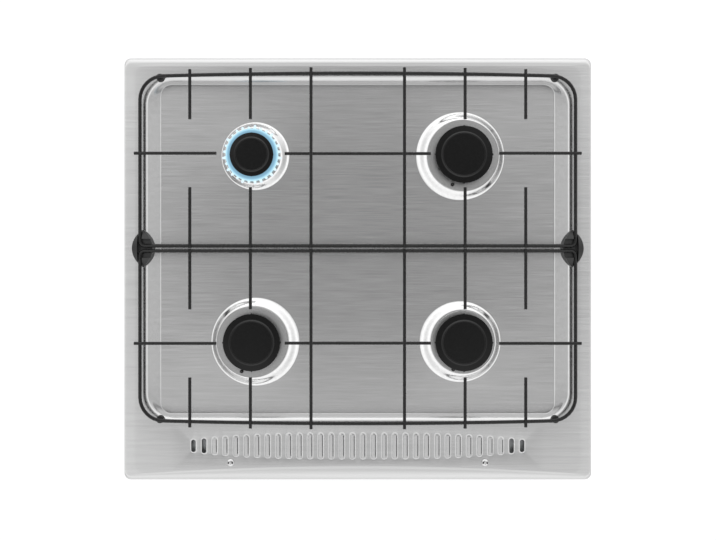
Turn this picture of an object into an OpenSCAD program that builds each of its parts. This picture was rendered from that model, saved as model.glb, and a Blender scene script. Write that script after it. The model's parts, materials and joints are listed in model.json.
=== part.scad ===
// Four-burner gas hob with a pressed steel top, wire pan supports and its gas train.
// Millimetres. +X is right, +Y is rear, +Z is up. The vent row is along the front.
// The origin is at the middle of the underside of the burner box.

/* [Hob top] */
// Width of the pressed top
top_w = 600; // [560:1:640]
// Depth of the pressed top
top_d = 542; // [520:1:580]
// Height of the rim face above the underside
rim_h = 72; // [70:1:90]
// Thickness of the pressed steel sheet
sheet = 1; // [0.8:0.1:1.4]
// Height of the skirt that is turned down all round
skirt_h = 30; // [20:1:34]
// Corner radius of the outline
top_corner_r = 8; // [7:1:16]
// Width of the rolled edge at the sides
side_roll = 5; // [3:0.5:6]
// Width of the rolled edge at the rear and at the ends of the front
end_roll = 6; // [3:0.5:7]
// Width of the rolled front lip at its middle
lip_w = 15; // [8:0.5:15]
// Height over which the edges roll down
roll_drop = 6; // [3:0.5:10]

/* [Well] */
// Width of the rim at each side of the well
side_rim = 28; // [26:0.5:32]
// Width of the rim behind the well
rear_rim = 24; // [22:0.5:28]
// How far the well is pressed below the rim
well_drop = 12; // [8:0.5:14]
// Width of the sloping wall at the left and right
well_slope_x = 18; // [12:1:24]
// Width of the sloping wall at the front and rear
well_slope_y = 13; // [10:1:20]
// Corner radius of the well at the rim
well_corner_r = 36; // [30:1:44]
// Corner radius of the well at its floor
well_floor_r = 13; // [10:0.5:24]

/* [Burners] */
// Distance of each burner's middle inside the side edge of the well
burner_side = 136.5; // [132:0.5:142]
// Distance of each burner's middle inside the front or rear edge of the well
burner_end = 101; // [97:0.5:108]
// Diameter of the small burner's cap
small_cap_d = 55.6; // [52:0.1:60]
// Diameter of the three large caps
large_cap_d = 73; // [68:0.1:75]
// How far the cone round the small burner reaches past its cap
small_cone_out = 15.4; // [14:0.1:18]
// How far the cone round the front right burner reaches past its cap
middle_cone_out = 15; // [14:0.1:18]
// How far the cones round the other two burners reach past their caps
large_cone_out = 20.2; // [17:0.1:24]
// Width of the small cone's slope
small_cone_slope = 7.2; // [6:0.1:9]
// Width of the slope on the other cones
large_cone_slope = 9.8; // [8:0.1:11]
// Height of the cones above the floor of the well
cone_rise = 6; // [4:0.5:8]
// Thickness of each burner cap
cap_t = 4.8; // [4:0.1:6]
// Height of the burner crown above its seat
crown_h = 6.3; // [5:0.1:8]
// Number of flame ports in the small crown
small_ports = 22; // [16:2:24]
// Number of flame ports in the large crowns
large_ports = 30; // [24:2:36]
// Width of a flame port
port_w = 1.6; // [1:0.1:2]
// Thickness of the flange that clamps each burner cup
flange_t = 2; // [1.5:0.1:3]
// Thickness of the gasket under each burner cup
gasket_t = 0.5; // [0.4:0.1:1]
// Wall thickness of the cast burner cups
cup_wall = 3; // [2:0.1:3]

/* [Pan supports] */
// Diameter of the wire that forms the frames
frame_wire_d = 4.6; // [4:0.1:5]
// Diameter of the finger wires
finger_wire_d = 4; // [3.5:0.1:4.5]
// Height of the frame wire's middle above the rim
frame_lift = 12; // [11:0.5:14]
// Distance of the side wires outside the edge of the well
frame_side = 4; // [2:0.5:6]
// Distance of the outer wires' middle outside the edge of the well
frame_end = 1; // [0:0.5:3]
// Outer corner radius of the frames
frame_corner_r = 30; // [20:1:36]
// Angle by which the long outer wires bow at each end
frame_bow = 1.6; // [0.8:0.1:2]
// Radius of the bends next to the side blocks
frame_inner_r = 6; // [5:0.5:8]
// Distance between the two inner bars
bar_pitch = 6.4; // [6:0.1:8]
// Distance of the inner finger wires from the middle line
inner_finger_x = 59; // [55:0.5:65]
// Distance of the outer finger wires inside the side wires
outer_finger_in = 64; // [56:0.5:72]
// Distance of the finger tips from the burner's middle
finger_gap = 43; // [41:0.5:48]
// How far the finger wires reach past the frame wire
finger_over = 4; // [2.5:0.5:5]
// How deep the crossing wires are pressed into each other at their welds
weld_set = 0.6; // [0.3:0.1:1]
// Distance of the rubber feet inside the side wires
foot_in = 24; // [22:0.5:30]
// Diameter of the rubber feet
foot_d = 10.5; // [9:0.5:12]

/* [Side blocks] */
// Width of each side block
block_w = 24; // [20:1:26]
// Length of each side block
block_l = 48; // [42:1:56]
// Distance of each block's middle outside the edge of the well
block_out = 1; // [0:0.5:2]
// Height of each side block above the rim
block_h = 17; // [16:0.5:19]

/* [Vents and screws] */
// Number of vent slots
vent_count = 32; // [24:2:34]
// Distance from one vent slot to the next
vent_pitch = 13.6; // [12:0.1:13.7]
// Width of a vent slot
vent_w = 6.6; // [5:0.1:8]
// Length of the longest vent slots
vent_long = 32.5; // [28:0.5:33]
// Length of the shortest vent slots
vent_short = 15.6; // [12:0.5:20]
// Width of the land between the vent slots and the well
vent_land = 15.75; // [14:0.25:20]
// Width of the land between the front lip and the vent slots
screw_land = 12.75; // [11:0.25:16]
// Distance of the two front screws from the middle line
screw_x = 163; // [120:1:180]
// Distance of the two front screws behind the front lip
screw_back = 8; // [7:0.5:9]
// Diameter of the front screw heads
screw_head_d = 9.6; // [8:0.1:10]
// Depth of the spill tray below the vent row
tray_drop = 10; // [8:0.5:12]

/* [Burner box] */
// Distance of the box's walls outside the edge of the well
box_out = 9; // [8:0.5:10]
// Thickness of the galvanised sheet
box_sheet = 1; // [0.8:0.1:1.2]
// Width of the box's flange at the sides
box_flange = 9; // [8:0.5:10]

/* [Gas train] */
// Outer diameter of the gas rail
rail_d = 16; // [14:0.5:18]
// Height of the gas inlet's collar above the underside
rail_clear = 0.5; // [0.3:0.1:3]
// Distance of the gas rail in front of the box
rail_gap = 26; // [24:1:28]
// Distance of the rail's right end inside the outline
rail_in = 38; // [34:1:60]
// How far the rail reaches past its last tap at the left
rail_past = 25; // [20:1:60]
// Depth of the taps and feed pipes below the rim
pipe_drop = 40; // [38:0.5:41]
// Outer diameter of the feed pipes
pipe_d = 6; // [5:0.5:7]
// Bend radius of the feed pipes
pipe_bend_r = 15; // [12:1:18]
// Distance of each tap from its burner, to the left or right
tap_dx = 45; // [40:1:50]
// Diameter of the body of a gas tap
tap_d = 22; // [18:0.5:22]
// Diameter of a tap's spindle
spindle_d = 8; // [6:0.5:8]
// Outer diameter of the threaded gas inlet
inlet_d = 20.95; // [19:0.05:22]

/* [Hidden] */
$fn = 64;

// Sizes that follow the outline of the top
well_w = top_w - 2 * side_rim;
front_strip = lip_w + screw_land + vent_long + vent_land;
well_d = top_d - rear_rim - front_strip;
cook_y = (front_strip - rear_rim) / 2;
burner_dx = well_w / 2 - burner_side;
burner_dy = well_d / 2 - burner_end;
pipe_z = rim_h - pipe_drop;
vent_y = top_d / 2 - lip_w - screw_land - vent_long / 2;
screw_y = top_d / 2 - lip_w - screw_back;
frame_w = well_w + 2 * frame_side;
frame_reach = well_d / 2 + frame_end;
outer_finger_x = frame_w / 2 - outer_finger_in;
foot_x = frame_w / 2 - foot_in;
block_x = well_w / 2 + block_out;
box_w = well_w + 2 * box_out;
box_rear = well_d / 2 + cook_y + box_out;
box_front = well_d / 2 - cook_y + box_out;
rail_y = box_front + rail_gap;
rail_right = top_w / 2 - rail_in;
rail_left = burner_dx + tap_dx + rail_past;

// Clearances
fit_gap = 0.1;
run_gap = 0.05;
lift_gap = 0.25;
hole_gap = 0.3;

// Burners, in this order everywhere
RL = 0;
RR = 1;
FL = 2;
FR = 3;
BURNERS = [RL, RR, FL, FR];

function burner_x(i) = (i == RL || i == FL ? -1 : 1) * burner_dx;
function burner_y(i) = cook_y + (i == RL || i == RR ? 1 : -1) * burner_dy;
function tap_x(i) = sign(burner_x(i)) * (burner_dx + (i == RL || i == RR ? -1 : 1) * tap_dx);
function cap_r(i) = (i == RL ? small_cap_d : large_cap_d) / 2;
function cone_r(i) = cap_r(i) + (i == RL ? small_cone_out : i == FR ? middle_cone_out : large_cone_out);
function cone_slope(i) = i == RL ? small_cone_slope : large_cone_slope;
function cone_top_r(i) = cone_r(i) - cone_slope(i);
function port_count(i) = i == RL ? small_ports : large_ports;

// Heights
rim_under = rim_h - sheet;
floor_z = rim_h - well_drop;
cone_z = floor_z + cone_rise;
flange_z = cone_z + gasket_t;
seat_z = flange_z + flange_t;
crown_z = seat_z + lift_gap;
cap_z = crown_z + crown_h + lift_gap;
frame_z = rim_h + frame_lift;
finger_z = frame_z + (frame_wire_d + finger_wire_d) / 2 + fit_gap;
centre_z = finger_z - finger_wire_d + weld_set;
inlet_collar = 1;
rail_z = inlet_d / 2 + inlet_collar + rail_clear;

// Burner parts that are nested in each other
crown_edge = 2.5;
crown_wall = 7;
crown_foot = 8.5;
crown_base_t = 2;
port_sill = 2.8;
venturi_r = 9;
venturi_wall = 2.5;
chamber_depth = 24.5;
venturi_drop = 15;
spigot_depth = 10;
spigot_wall = 2;
cup_floor_t = 3;
cup_gap = 1;
flange_in = 1;
flange_edge = 0.8;
boss_r = 9.5;
boss_drop = 9;
nipple_r = 6.5;
nipple_l = 16;
nipple_wall = 10;
union_nut_across = 14;
union_nut_l = 7;
cup_screw_d = 4;
cup_screw_head_d = 7.2;
nut_across = 7;
nut_t = 3;
pipe_wall = 1;
screw_sink = 1.4;
screw_past_nut = 1;
igniter_d = 4.4;
igniter_pin_d = 2;
igniter_top = 3;
igniter_drop = 34;
igniter_angle = 250;
injector_head_d = 9;
injector_head_h = 6;
injector_shank_d = 6;
injector_shank_l = 6;
injector_bore_d = 3;
injector_jet_d = 0.9;
injector_jet_h = 1.5;

function crown_r(i) = cap_r(i) - crown_edge;
function bore_r(i) = crown_r(i) - crown_foot;
function cup_r(i) = bore_r(i) + cup_wall;
function hole_r(i) = cup_r(i) + cup_gap;
function flange_r(i) = cone_top_r(i) - flange_in;
function cup_screw_r(i) = cup_r(i) + cup_screw_head_d / 2 + flange_edge;
function igniter_r(i) = (crown_r(i) + flange_r(i)) / 2;
chamber_z = seat_z - chamber_depth;
cup_bottom_z = chamber_z - cup_floor_t;
boss_z = pipe_z - boss_drop;
cup_screw_angles = [90, 210, 330];

// Front of the hob
front_y = -top_d / 2;
rear_y = top_d / 2;
well_front = cook_y - well_d / 2;
well_rear = cook_y + well_d / 2;
tray_z = rim_under - tray_drop;
tap_nose = 22;
tap_tail = 18;
tap_front_y = -rail_y - tap_nose;
tap_rear_y = -rail_y + tap_tail;
spindle_out = 14;
spindle_in = 12;
spindle_tip_l = 6;
spindle_tip_d = spindle_d - 1;
collar_d = spindle_d + 1;
pipe_in = 5;
gas_way_d = 4;
rail_wall = 1.5;

// Studs that hold the burner box
stud_d = 4;
stud_l = 8;
stud_out = 4.6;
stud_end = 40;
stud_x = box_w / 2 + stud_out;
stud_ys = [box_rear - stud_end, (box_rear - box_front) / 2, stud_end - box_front];

module at_burner(i) translate([burner_x(i), burner_y(i), 0]) children();

module at_igniter(i) {
    at_burner(i) rotate(igniter_angle) translate([igniter_r(i), 0, 0]) children();
}

module at_cup_screws(i) {
    at_burner(i) for (a = cup_screw_angles) rotate(a) translate([cup_screw_r(i), 0, 0]) children();
}

module both_sides() {
    children();
    mirror([1, 0, 0]) children();
}

// Bar along X, Y or Z between two places on that axis
module bar_x(x0, x1, y, z, d) translate([x0, y, z]) rotate([0, 90, 0]) cylinder(d = d, h = x1 - x0);
module bar_y(x, y0, y1, z, d) translate([x, y0, z]) rotate([-90, 0, 0]) cylinder(d = d, h = y1 - y0);
module bar_z(x, y, z0, z1, d) translate([x, y, z0]) cylinder(d = d, h = z1 - z0);
module hex_nut(across, h) cylinder(d = across / cos(30), h = h, $fn = 6);

// Pressed sheet of the top, as nested rounded rectangles
corner_steps = 6;
edge_steps = 10;
roll_steps = 4;
slope_steps = 6;
ring_size = 4 * (corner_steps + 1) + 2 * (edge_steps - 1);

function arc(cx, cy, r, start, z) = [for (k = [0:corner_steps])
    let (a = start + 90 * k / corner_steps) [cx + r * cos(a), cy + r * sin(a), z]];

// One rounded rectangle. Its front edge bows inwards by bow at the middle.
function ring(half_w, y_front, y_rear, r, z, bow = 0) = concat(
    arc(half_w - r, y_rear - r, r, 0, z),
    [for (k = [1:edge_steps - 1]) [(half_w - r) * (1 - 2 * k / edge_steps), y_rear, z]],
    arc(r - half_w, y_rear - r, r, 90, z),
    arc(r - half_w, y_front + r, r, 180, z),
    [for (k = [1:edge_steps - 1]) let (s = 2 * k / edge_steps - 1)
        [(half_w - r) * s, y_front + bow * (1 - s * s), z]],
    arc(half_w - r, y_front + r, r, 270, z));

// Ring of the rolled edge, from 0 degrees at the skirt to 90 at the rim face, moved in by depth
function roll_ring(a, depth) = let (in = 1 - cos(a), out = depth * cos(a))
    ring(top_w / 2 - side_roll * in - out, front_y + end_roll * in + out, rear_y - end_roll * in - out,
        top_corner_r - min(side_roll, end_roll) * in / 2 - out / 2,
        rim_h - roll_drop * (1 - sin(a)) - depth * sin(a), (lip_w - end_roll) * in);

// How far the wall of the well has dropped at a share of its width
function wall_drop(share) = well_drop * (1 - cos(180 * share)) / 2;

// Ring of the well's wall at a share of its width
function well_ring(share, depth) = ring(well_w / 2 - well_slope_x * share,
    cook_y - well_d / 2 + well_slope_y * share, cook_y + well_d / 2 - well_slope_y * share,
    well_corner_r + (well_floor_r - well_corner_r) * share, rim_h - wall_drop(share) - depth);

function skirt_ring(depth) = ring(top_w / 2 - depth, front_y + depth, rear_y - depth,
    top_corner_r - depth / 2, rim_h - skirt_h);

function sheet_rings() = concat(
    [for (k = [slope_steps:-1:0]) well_ring(k / slope_steps, 0)],
    [for (k = [roll_steps:-1:0]) roll_ring(90 * k / roll_steps, 0)],
    [skirt_ring(0), skirt_ring(sheet)],
    [for (k = [0:roll_steps]) roll_ring(90 * k / roll_steps, sheet)],
    [for (k = [0:slope_steps]) well_ring(k / slope_steps, sheet)]);

// Closed solid through a chain of rings that all have ring_size points
module loft(rings) {
    last = len(rings) - 1;
    walls = [for (k = [0:last - 1], j = [0:ring_size - 1])
        let (a = k * ring_size + j, b = k * ring_size + (j + 1) % ring_size)
        each [[a, b, b + ring_size], [a, b + ring_size, a + ring_size]]];
    first_cap = [for (j = [ring_size - 1:-1:0]) j];
    last_cap = [for (j = [0:ring_size - 1]) last * ring_size + j];
    polyhedron(points = [for (r = rings, p = r) p], faces = concat([first_cap], walls, [last_cap]));
}

// Cone pressed round a burner: a bead at its foot, the slope and the flat seat
bead_w = 1.2;
bead_h = 0.2;

module burner_cone(i) {
    outer = cone_r(i);
    at_burner(i) rotate_extrude($fn = 96) polygon([
        [outer + bead_w, floor_z - sheet - bead_h], [outer + bead_w, floor_z + bead_h],
        [outer, floor_z + bead_h], [cone_top_r(i), cone_z], [hole_r(i), cone_z],
        [hole_r(i), cone_z - sheet], [cone_top_r(i) - sheet / 2, cone_z - sheet],
        [outer - sheet, floor_z - sheet - bead_h]]);
}

// The real top, box and frame wires are one piece each. Here hairlines part them into zones that are
// almost convex, so that the collision hulls follow the sheet and leave the well and the skirt open.
hair = 0.02;
zone_over = 2;
cone_cut_angle = 8;
cone_cuts = 4;

module zone(x0, x1, y0, y1, z0, z1) {
    translate([x0 + hair / 2, y0 + hair / 2, z0 + hair / 2])
        cube([x1 - x0 - hair, y1 - y0 - hair, z1 - z0 - hair]);
}

module zone_pair(x0, x1, y0, y1, z0, z1) both_sides() zone(x0, x1, y0, y1, z0, z1);

// Skirt, rolled edge and rim
module edge_zones() {
    over_x = top_w / 2 + zone_over;
    over_y = top_d / 2 + zone_over;
    post_x = top_w / 2 - top_corner_r;
    post_y = top_d / 2 - top_corner_r;
    flat_x = top_w / 2 - side_roll;
    flat_y = top_d / 2 - end_roll;
    roll_z = rim_h - roll_drop;
    low = rim_h - skirt_h - zone_over;
    deep = rim_under - stud_l - zone_over;
    high = rim_h + zone_over;
    zone_pair(post_x, over_x, -post_y, post_y, low, roll_z);
    zone_pair(flat_x, over_x, -flat_y, flat_y, roll_z, high);
    for (y = [[-over_y, -post_y], [post_y, over_y]]) {
        zone(-post_x, post_x, y[0], y[1], low, roll_z);
        zone_pair(post_x, over_x, y[0], y[1], low, roll_z);
    }
    for (y = [[-over_y, -flat_y], [flat_y, over_y]]) zone_pair(flat_x, over_x, y[0], y[1], roll_z, high);
    zone(-flat_x, flat_x, -over_y, front_y + lip_w, roll_z, high);
    zone(-flat_x, flat_x, flat_y, over_y, roll_z, high);
    zone(-flat_x, flat_x, front_y + lip_w, well_front, deep, high);
    zone(-flat_x, flat_x, well_rear, flat_y, deep, high);
    zone_pair(well_w / 2, flat_x, well_front, well_rear, deep, high);
}

// Walls, corners and floor of the well, with the cones in eight sectors each
module well_zones() {
    side_x = well_w / 2;
    bend_x = side_x - well_corner_r;
    bend_front = well_front + well_corner_r;
    bend_rear = well_rear - well_corner_r;
    floor_x = side_x - well_slope_x;
    floor_front = well_front + well_slope_y;
    floor_rear = well_rear - well_slope_y;
    deep = floor_z - 2 * sheet;
    high = rim_h + zone_over;
    zone_pair(floor_x, side_x, bend_front, bend_rear, deep, high);
    zone(-bend_x, bend_x, well_front, floor_front, deep, high);
    zone(-bend_x, bend_x, floor_rear, well_rear, deep, high);
    zone_pair(bend_x, side_x, well_front, bend_front, deep, high);
    zone_pair(bend_x, side_x, bend_rear, well_rear, deep, high);
    zone_pair(bend_x, floor_x, bend_front, bend_rear, deep, high);
    difference() {
        for (y = [[floor_front, burner_y(FL)], [burner_y(FL), burner_y(RL)], [burner_y(RL), floor_rear]]) {
            zone(-burner_dx, burner_dx, y[0], y[1], deep, high);
            zone_pair(burner_dx, bend_x, y[0], y[1], deep, high);
        }
        for (i = BURNERS) at_burner(i) cylinder(r = cone_r(i) + bead_w + hair / 2, h = 2 * rim_h, $fn = 96);
    }
    for (i = BURNERS) at_burner(i) difference() {
        bar_z(0, 0, deep, high, 2 * (cone_r(i) + bead_w) - hair, $fn = 96);
        for (k = [0:cone_cuts - 1]) rotate(cone_cut_angle + 180 * k / cone_cuts)
            translate([-well_d, -hair / 2, 0]) cube([2 * well_d, hair, 2 * rim_h]);
    }
}

function vent_length(k) = let (s = abs(2 * k / (vent_count - 1) - 1))
    vent_long - (vent_long - vent_short) * s * s * s;

module vent_slots() {
    for (k = [0:vent_count - 1]) {
        straight = vent_length(k) - vent_w;
        translate([(k - (vent_count - 1) / 2) * vent_pitch, -vent_y, rim_under - 1])
            linear_extrude(sheet + 2) union() {
                square([vent_w, straight], center = true);
                for (s = [-1, 1]) translate([0, s * straight / 2]) circle(d = vent_w);
            }
    }
}

module pressed_sheet() {
    difference() {
        loft(sheet_rings());
        for (i = BURNERS) at_burner(i) translate([0, 0, floor_z - 2 * sheet])
            cylinder(r = cone_r(i), h = 4 * sheet, $fn = 96);
    }
    for (i = BURNERS) burner_cone(i);
    both_sides() for (y = stud_ys) bar_z(stud_x, y, rim_under - stud_l, rim_under + sheet / 2, stud_d);
}

module hob_top() color("silver") {
    difference() {
        intersection() {
            pressed_sheet();
            union() {
                edge_zones();
                well_zones();
            }
        }
        vent_slots();
        for (i = BURNERS) {
            at_cup_screws(i) bar_z(0, 0, floor_z, cone_z + 1, cup_screw_d + hole_gap);
            at_igniter(i) bar_z(0, 0, floor_z, cone_z + 1, igniter_d + 2 * hole_gap);
        }
        both_sides() {
            bar_z(screw_x, -screw_y, rim_under - 1, rim_h + 1, cup_screw_d + hole_gap);
            at_block_screws() bar_z(0, 0, rim_under - 1, rim_h + 1, block_screw_d + hole_gap);
        }
    }
}

// Open box of folded sheet under the whole cooking area
box_flange_end = 5;
box_corner_r = 6;

module box_outline(grow) {
    translate([-box_w / 2 - grow, -box_front - grow])
        rounded_plate(box_w + 2 * grow, box_front + box_rear + 2 * grow, box_corner_r + grow);
}

module rounded_plate(w, d, r) {
    translate([r, 0]) square([w - 2 * r, d]);
    translate([0, r]) square([w, d - 2 * r]);
    for (x = [r, w - r], y = [r, d - r]) translate([x, y]) circle(r = r);
}

module box_front_hole(x, z, d) bar_y(x, -box_front - box_sheet, -box_front + 2 * box_sheet, z, d);

// Floor, walls, corners and flange of the box
module box_zones() {
    bend_x = box_w / 2 - box_corner_r;
    bend_front = box_corner_r - box_front;
    bend_rear = box_rear - box_corner_r;
    over_x = box_w / 2 + box_flange + zone_over;
    over_front = -box_front - box_flange_end - zone_over;
    over_rear = box_rear + box_flange_end + zone_over;
    flange_z = rim_under - box_sheet;
    high = rim_under + zone_over;
    zone(-over_x, over_x, over_front, over_rear, -zone_over, box_sheet);
    for (z = [[box_sheet, flange_z], [flange_z, high]]) {
        zone_pair(bend_x, over_x, bend_front, bend_rear, z[0], z[1]);
        for (y = [[over_front, bend_front], [bend_rear, over_rear]]) {
            zone(-bend_x, bend_x, y[0], y[1], z[0], z[1]);
            zone_pair(bend_x, over_x, y[0], y[1], z[0], z[1]);
        }
    }
}

module burner_box() color("lightgray") {
    difference() {
        intersection() {
            union() {
                linear_extrude(rim_under) box_outline(0);
                translate([-box_w / 2 - box_flange, -box_front - box_flange_end, rim_under - box_sheet])
                    cube([box_w + 2 * box_flange, box_front + box_rear + 2 * box_flange_end, box_sheet]);
            }
            box_zones();
        }
        translate([0, 0, box_sheet]) linear_extrude(rim_h) box_outline(-box_sheet);
        for (i = BURNERS) box_front_hole(tap_x(i), pipe_z, pipe_d + 4 * hole_gap);
        both_sides() {
            for (y = stud_ys) bar_z(stud_x, y, rim_under - 2, rim_h, stud_d + hole_gap);
            box_front_hole(bracket_x, rail_z, bracket_screw_d + hole_gap);
        }
    }
}

module box_nuts() color("gray") {
    both_sides() for (y = stud_ys) translate([stud_x, y, rim_under - box_sheet - nut_t]) difference() {
        hex_nut(nut_across, nut_t);
        bar_z(0, 0, -1, nut_t + 1, stud_d + fit_gap);
    }
}

// Tray that keeps spills out of the space below the vent row
tray_side = 8;
tray_end = 6;
tray_lap = 3;
tray_lip_gap = 3;
tray_half_w = (vent_count - 1) / 2 * vent_pitch + vent_w / 2 + tray_end;
tray_rear_y = -vent_y + vent_long / 2 - tray_lap;
tray_front_y = -vent_y - vent_long / 2 - box_sheet;
tray_flange_y = front_y + lip_w + tray_lip_gap;

module vent_tray() color("gainsboro") {
    depth = tray_rear_y - tray_front_y;
    difference() {
        union() {
            translate([-tray_half_w, tray_front_y, tray_z - box_sheet])
                cube([2 * tray_half_w, depth, tray_drop + box_sheet]);
            translate([-tray_half_w - tray_side, tray_flange_y, rim_under - box_sheet])
                cube([2 * (tray_half_w + tray_side), tray_rear_y - tray_flange_y, box_sheet]);
        }
        translate([-tray_half_w + box_sheet, tray_front_y + box_sheet, tray_z])
            cube([2 * (tray_half_w - box_sheet), depth, tray_drop + 1]);
        both_sides() bar_z(screw_x, -screw_y, rim_under - 2, rim_h, cup_screw_d + hole_gap);
    }
}

module panel_screws() color("silver") {
    head_h = 2.4;
    shank_l = 12;
    both_sides() translate([screw_x, -screw_y, 0]) {
        translate([0, 0, rim_h]) rotate_extrude() polygon([
            [0, 0], [screw_head_d / 2, 0], [screw_head_d / 2, head_h * 0.35],
            [screw_head_d * 0.42, head_h * 0.75], [screw_head_d * 0.26, head_h], [0, head_h]]);
        translate([0, 0, rim_h - shank_l]) cylinder(d = cup_screw_d, h = shank_l);
    }
}

// Moulded blocks that carry the inner corners of both pan supports
block_screw_d = 3;
block_screw_head_d = 5.5;
block_screw_head_h = 2.2;
block_screw_dy = 13;
block_screw_in = 6;
block_end_h = 7;
block_brim = 2;
wire_seat_z = frame_z - frame_wire_d / 2 - lift_gap;
groove_w = frame_wire_d + 4 * lift_gap;

module at_block_screws() {
    for (s = [-1, 1]) translate([frame_w / 2, cook_y + s * block_screw_dy, 0]) children();
}

// Plan of a block: the space shared by two circles
module block_plan() {
    r = (pow(block_l / 2, 2) + pow(block_w / 2, 2)) / block_w;
    intersection_for(s = [-1, 1]) translate([s * (r - block_w / 2), 0]) circle(r = r, $fn = 96);
}

// Side view of a block, with its underside on the rim and along the wall of the well
module block_section() {
    inner = block_x - block_w / 2;
    edge = well_w / 2;
    steps = 5;
    under = [for (k = [0:steps]) let (x = edge - (edge - inner) * k / steps)
        [x, rim_h - wall_drop((edge - x) / well_slope_x) + lift_gap]];
    polygon(concat([[block_x + block_w / 2, rim_h + block_h], [block_x + block_w / 2, rim_h],
        [edge + block_brim, rim_h]], under, [[inner, rim_h + block_h]]));
}

// End view of a block: low at both ends and crowned at the middle
module block_crown() {
    rise = block_h - block_end_h;
    r = (pow(block_l / 2, 2) + pow(rise, 2)) / (2 * rise);
    intersection() {
        translate([0, rim_h + block_h - r]) circle(r = r, $fn = 128);
        translate([-block_l / 2, rim_h - well_drop]) square([block_l, well_drop + block_h]);
    }
}

module side_block_right() color("dimgray") {
    trench_l = bar_pitch + groove_w + 2 * frame_inner_r;
    inner = block_x - block_w / 2;
    difference() {
        intersection() {
            translate([block_x, cook_y, 0]) linear_extrude(rim_h + block_h) block_plan();
            translate([0, cook_y + block_l, 0]) rotate([90, 0, 0]) linear_extrude(2 * block_l)
                block_section();
            translate([inner - 1, cook_y, 0]) rotate([90, 0, 90]) linear_extrude(block_w + 2)
                block_crown();
        }
        translate([frame_w / 2 - groove_w / 2, cook_y - block_l, wire_seat_z])
            cube([groove_w, 2 * block_l, block_h]);
        translate([inner - 1, cook_y - trench_l / 2, wire_seat_z])
            cube([frame_w / 2 - inner + 1, trench_l, block_h]);
        at_block_screws() bar_z(0, 0, rim_h - 1, rim_h + block_screw_in + 1, block_screw_d + fit_gap);
    }
}

module side_block_left() color("dimgray") mirror([1, 0, 0]) side_block_right();

module block_screws() color("silver") {
    both_sides() at_block_screws() {
        bar_z(0, 0, rim_under - block_screw_head_h, rim_under, block_screw_head_d);
        bar_z(0, 0, rim_under - fit_gap, rim_h + block_screw_in, block_screw_d);
    }
}

// Frame of the rear pan support: one wire bent to a loop, with two legs for the feet
foot_h = 6.5;
leg_d = 4;
leg_in = 4;
foot_edge = 1.2;
wire_gap = 0.4;
wire_sides = 12;
bow_steps = 6;
bend_steps = 8;

corner_x = frame_w / 2 - frame_corner_r;
bow_half_w = corner_x + frame_corner_r * sin(frame_bow);
bow_r = bow_half_w / sin(frame_bow);
bow_rise = bow_r * (1 - cos(frame_bow));
corner_y = cook_y + frame_reach - bow_rise - frame_corner_r * cos(frame_bow);
bar_line_y = cook_y + bar_pitch / 2;
inner_x = frame_w / 2 - frame_inner_r;
inner_y = bar_line_y + frame_inner_r;

// How far behind the middle the outer wire lies, on its bow or on its corner bend
function wire_y(x) = x <= bow_half_w
    ? cook_y + frame_reach - bow_r + sqrt(bow_r * bow_r - x * x)
    : corner_y + sqrt(frame_corner_r * frame_corner_r - (x - corner_x) * (x - corner_x));

// A place on an arc of the wire: x, y and the angle at which it faces outwards
function wire_place(cx, cy, r, a) = [cx + r * cos(a), cy + r * sin(a), a];

// Right half of the loop, from the middle of the bow to the end of the inner bar
right_half = concat(
    [for (k = [0:bow_steps]) let (a = 90 - frame_bow * k / bow_steps)
        wire_place(0, cook_y + frame_reach - bow_r, bow_r, a)],
    [for (k = [1:bend_steps]) let (a = (90 - frame_bow) * (1 - k / bend_steps))
        wire_place(corner_x, corner_y, frame_corner_r, a)],
    [for (k = [0:bend_steps]) let (a = -90 * k / bend_steps)
        wire_place(inner_x, inner_y, frame_inner_r, a)]);
left_half = [for (k = [len(right_half) - 1:-1:1]) let (p = right_half[k]) [-p[0], p[1], 180 - p[2]]];

// Closed wire loop through a list of places
module wire_loop(places, z, d) {
    count = len(places);
    points = [for (p = places, k = [0:wire_sides - 1]) let (a = 360 * k / wire_sides, out = d / 2 * cos(a))
        [p[0] + out * cos(p[2]), p[1] + out * sin(p[2]), z + d / 2 * sin(a)]];
    faces = [for (i = [0:count - 1], k = [0:wire_sides - 1])
        let (a = i * wire_sides + k, b = i * wire_sides + (k + 1) % wire_sides,
            c = (i + 1) % count * wire_sides + (k + 1) % wire_sides, e = (i + 1) % count * wire_sides + k)
        each [[a, e, c], [a, c, b]]];
    polyhedron(points = points, faces = faces);
}

// Halves of the bow, corners, sides, inner bends and inner bar of the loop
module loop_zones() {
    over_x = frame_w / 2 + frame_wire_d;
    over_y = cook_y + frame_reach + frame_wire_d;
    high = frame_z + frame_wire_d;
    zone_pair(0, corner_x, corner_y, over_y, rim_h, high);
    zone_pair(corner_x, over_x, corner_y, over_y, rim_h, high);
    zone_pair(corner_x, over_x, inner_y, corner_y, rim_h, high);
    zone_pair(inner_x, over_x, cook_y, inner_y, rim_h, high);
    zone(-inner_x, inner_x, cook_y, inner_y, rim_h, high);
}

module frame_wire() {
    intersection() {
        union() {
            wire_loop(concat(right_half, left_half), frame_z, frame_wire_d);
            both_sides() bar_z(foot_x, wire_y(foot_x), rim_h + foot_h - leg_in, frame_z, leg_d);
        }
        loop_zones();
    }
}

// Finger wires that end near the burners, laid on the frame
module finger_wires() {
    outer_end = finger_over + frame_wire_d / 2;
    inner_end = cook_y + wire_gap;
    row_y = cook_y + burner_dy;
    both_sides() {
        for (x = [burner_dx, outer_finger_x]) {
            bar_y(x, row_y + finger_gap, wire_y(x) + outer_end, finger_z, finger_wire_d);
            bar_y(x, inner_end, row_y - finger_gap, finger_z, finger_wire_d);
        }
        bar_x(burner_dx + finger_gap, frame_w / 2 + outer_end, row_y, finger_z, finger_wire_d);
    }
}

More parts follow.
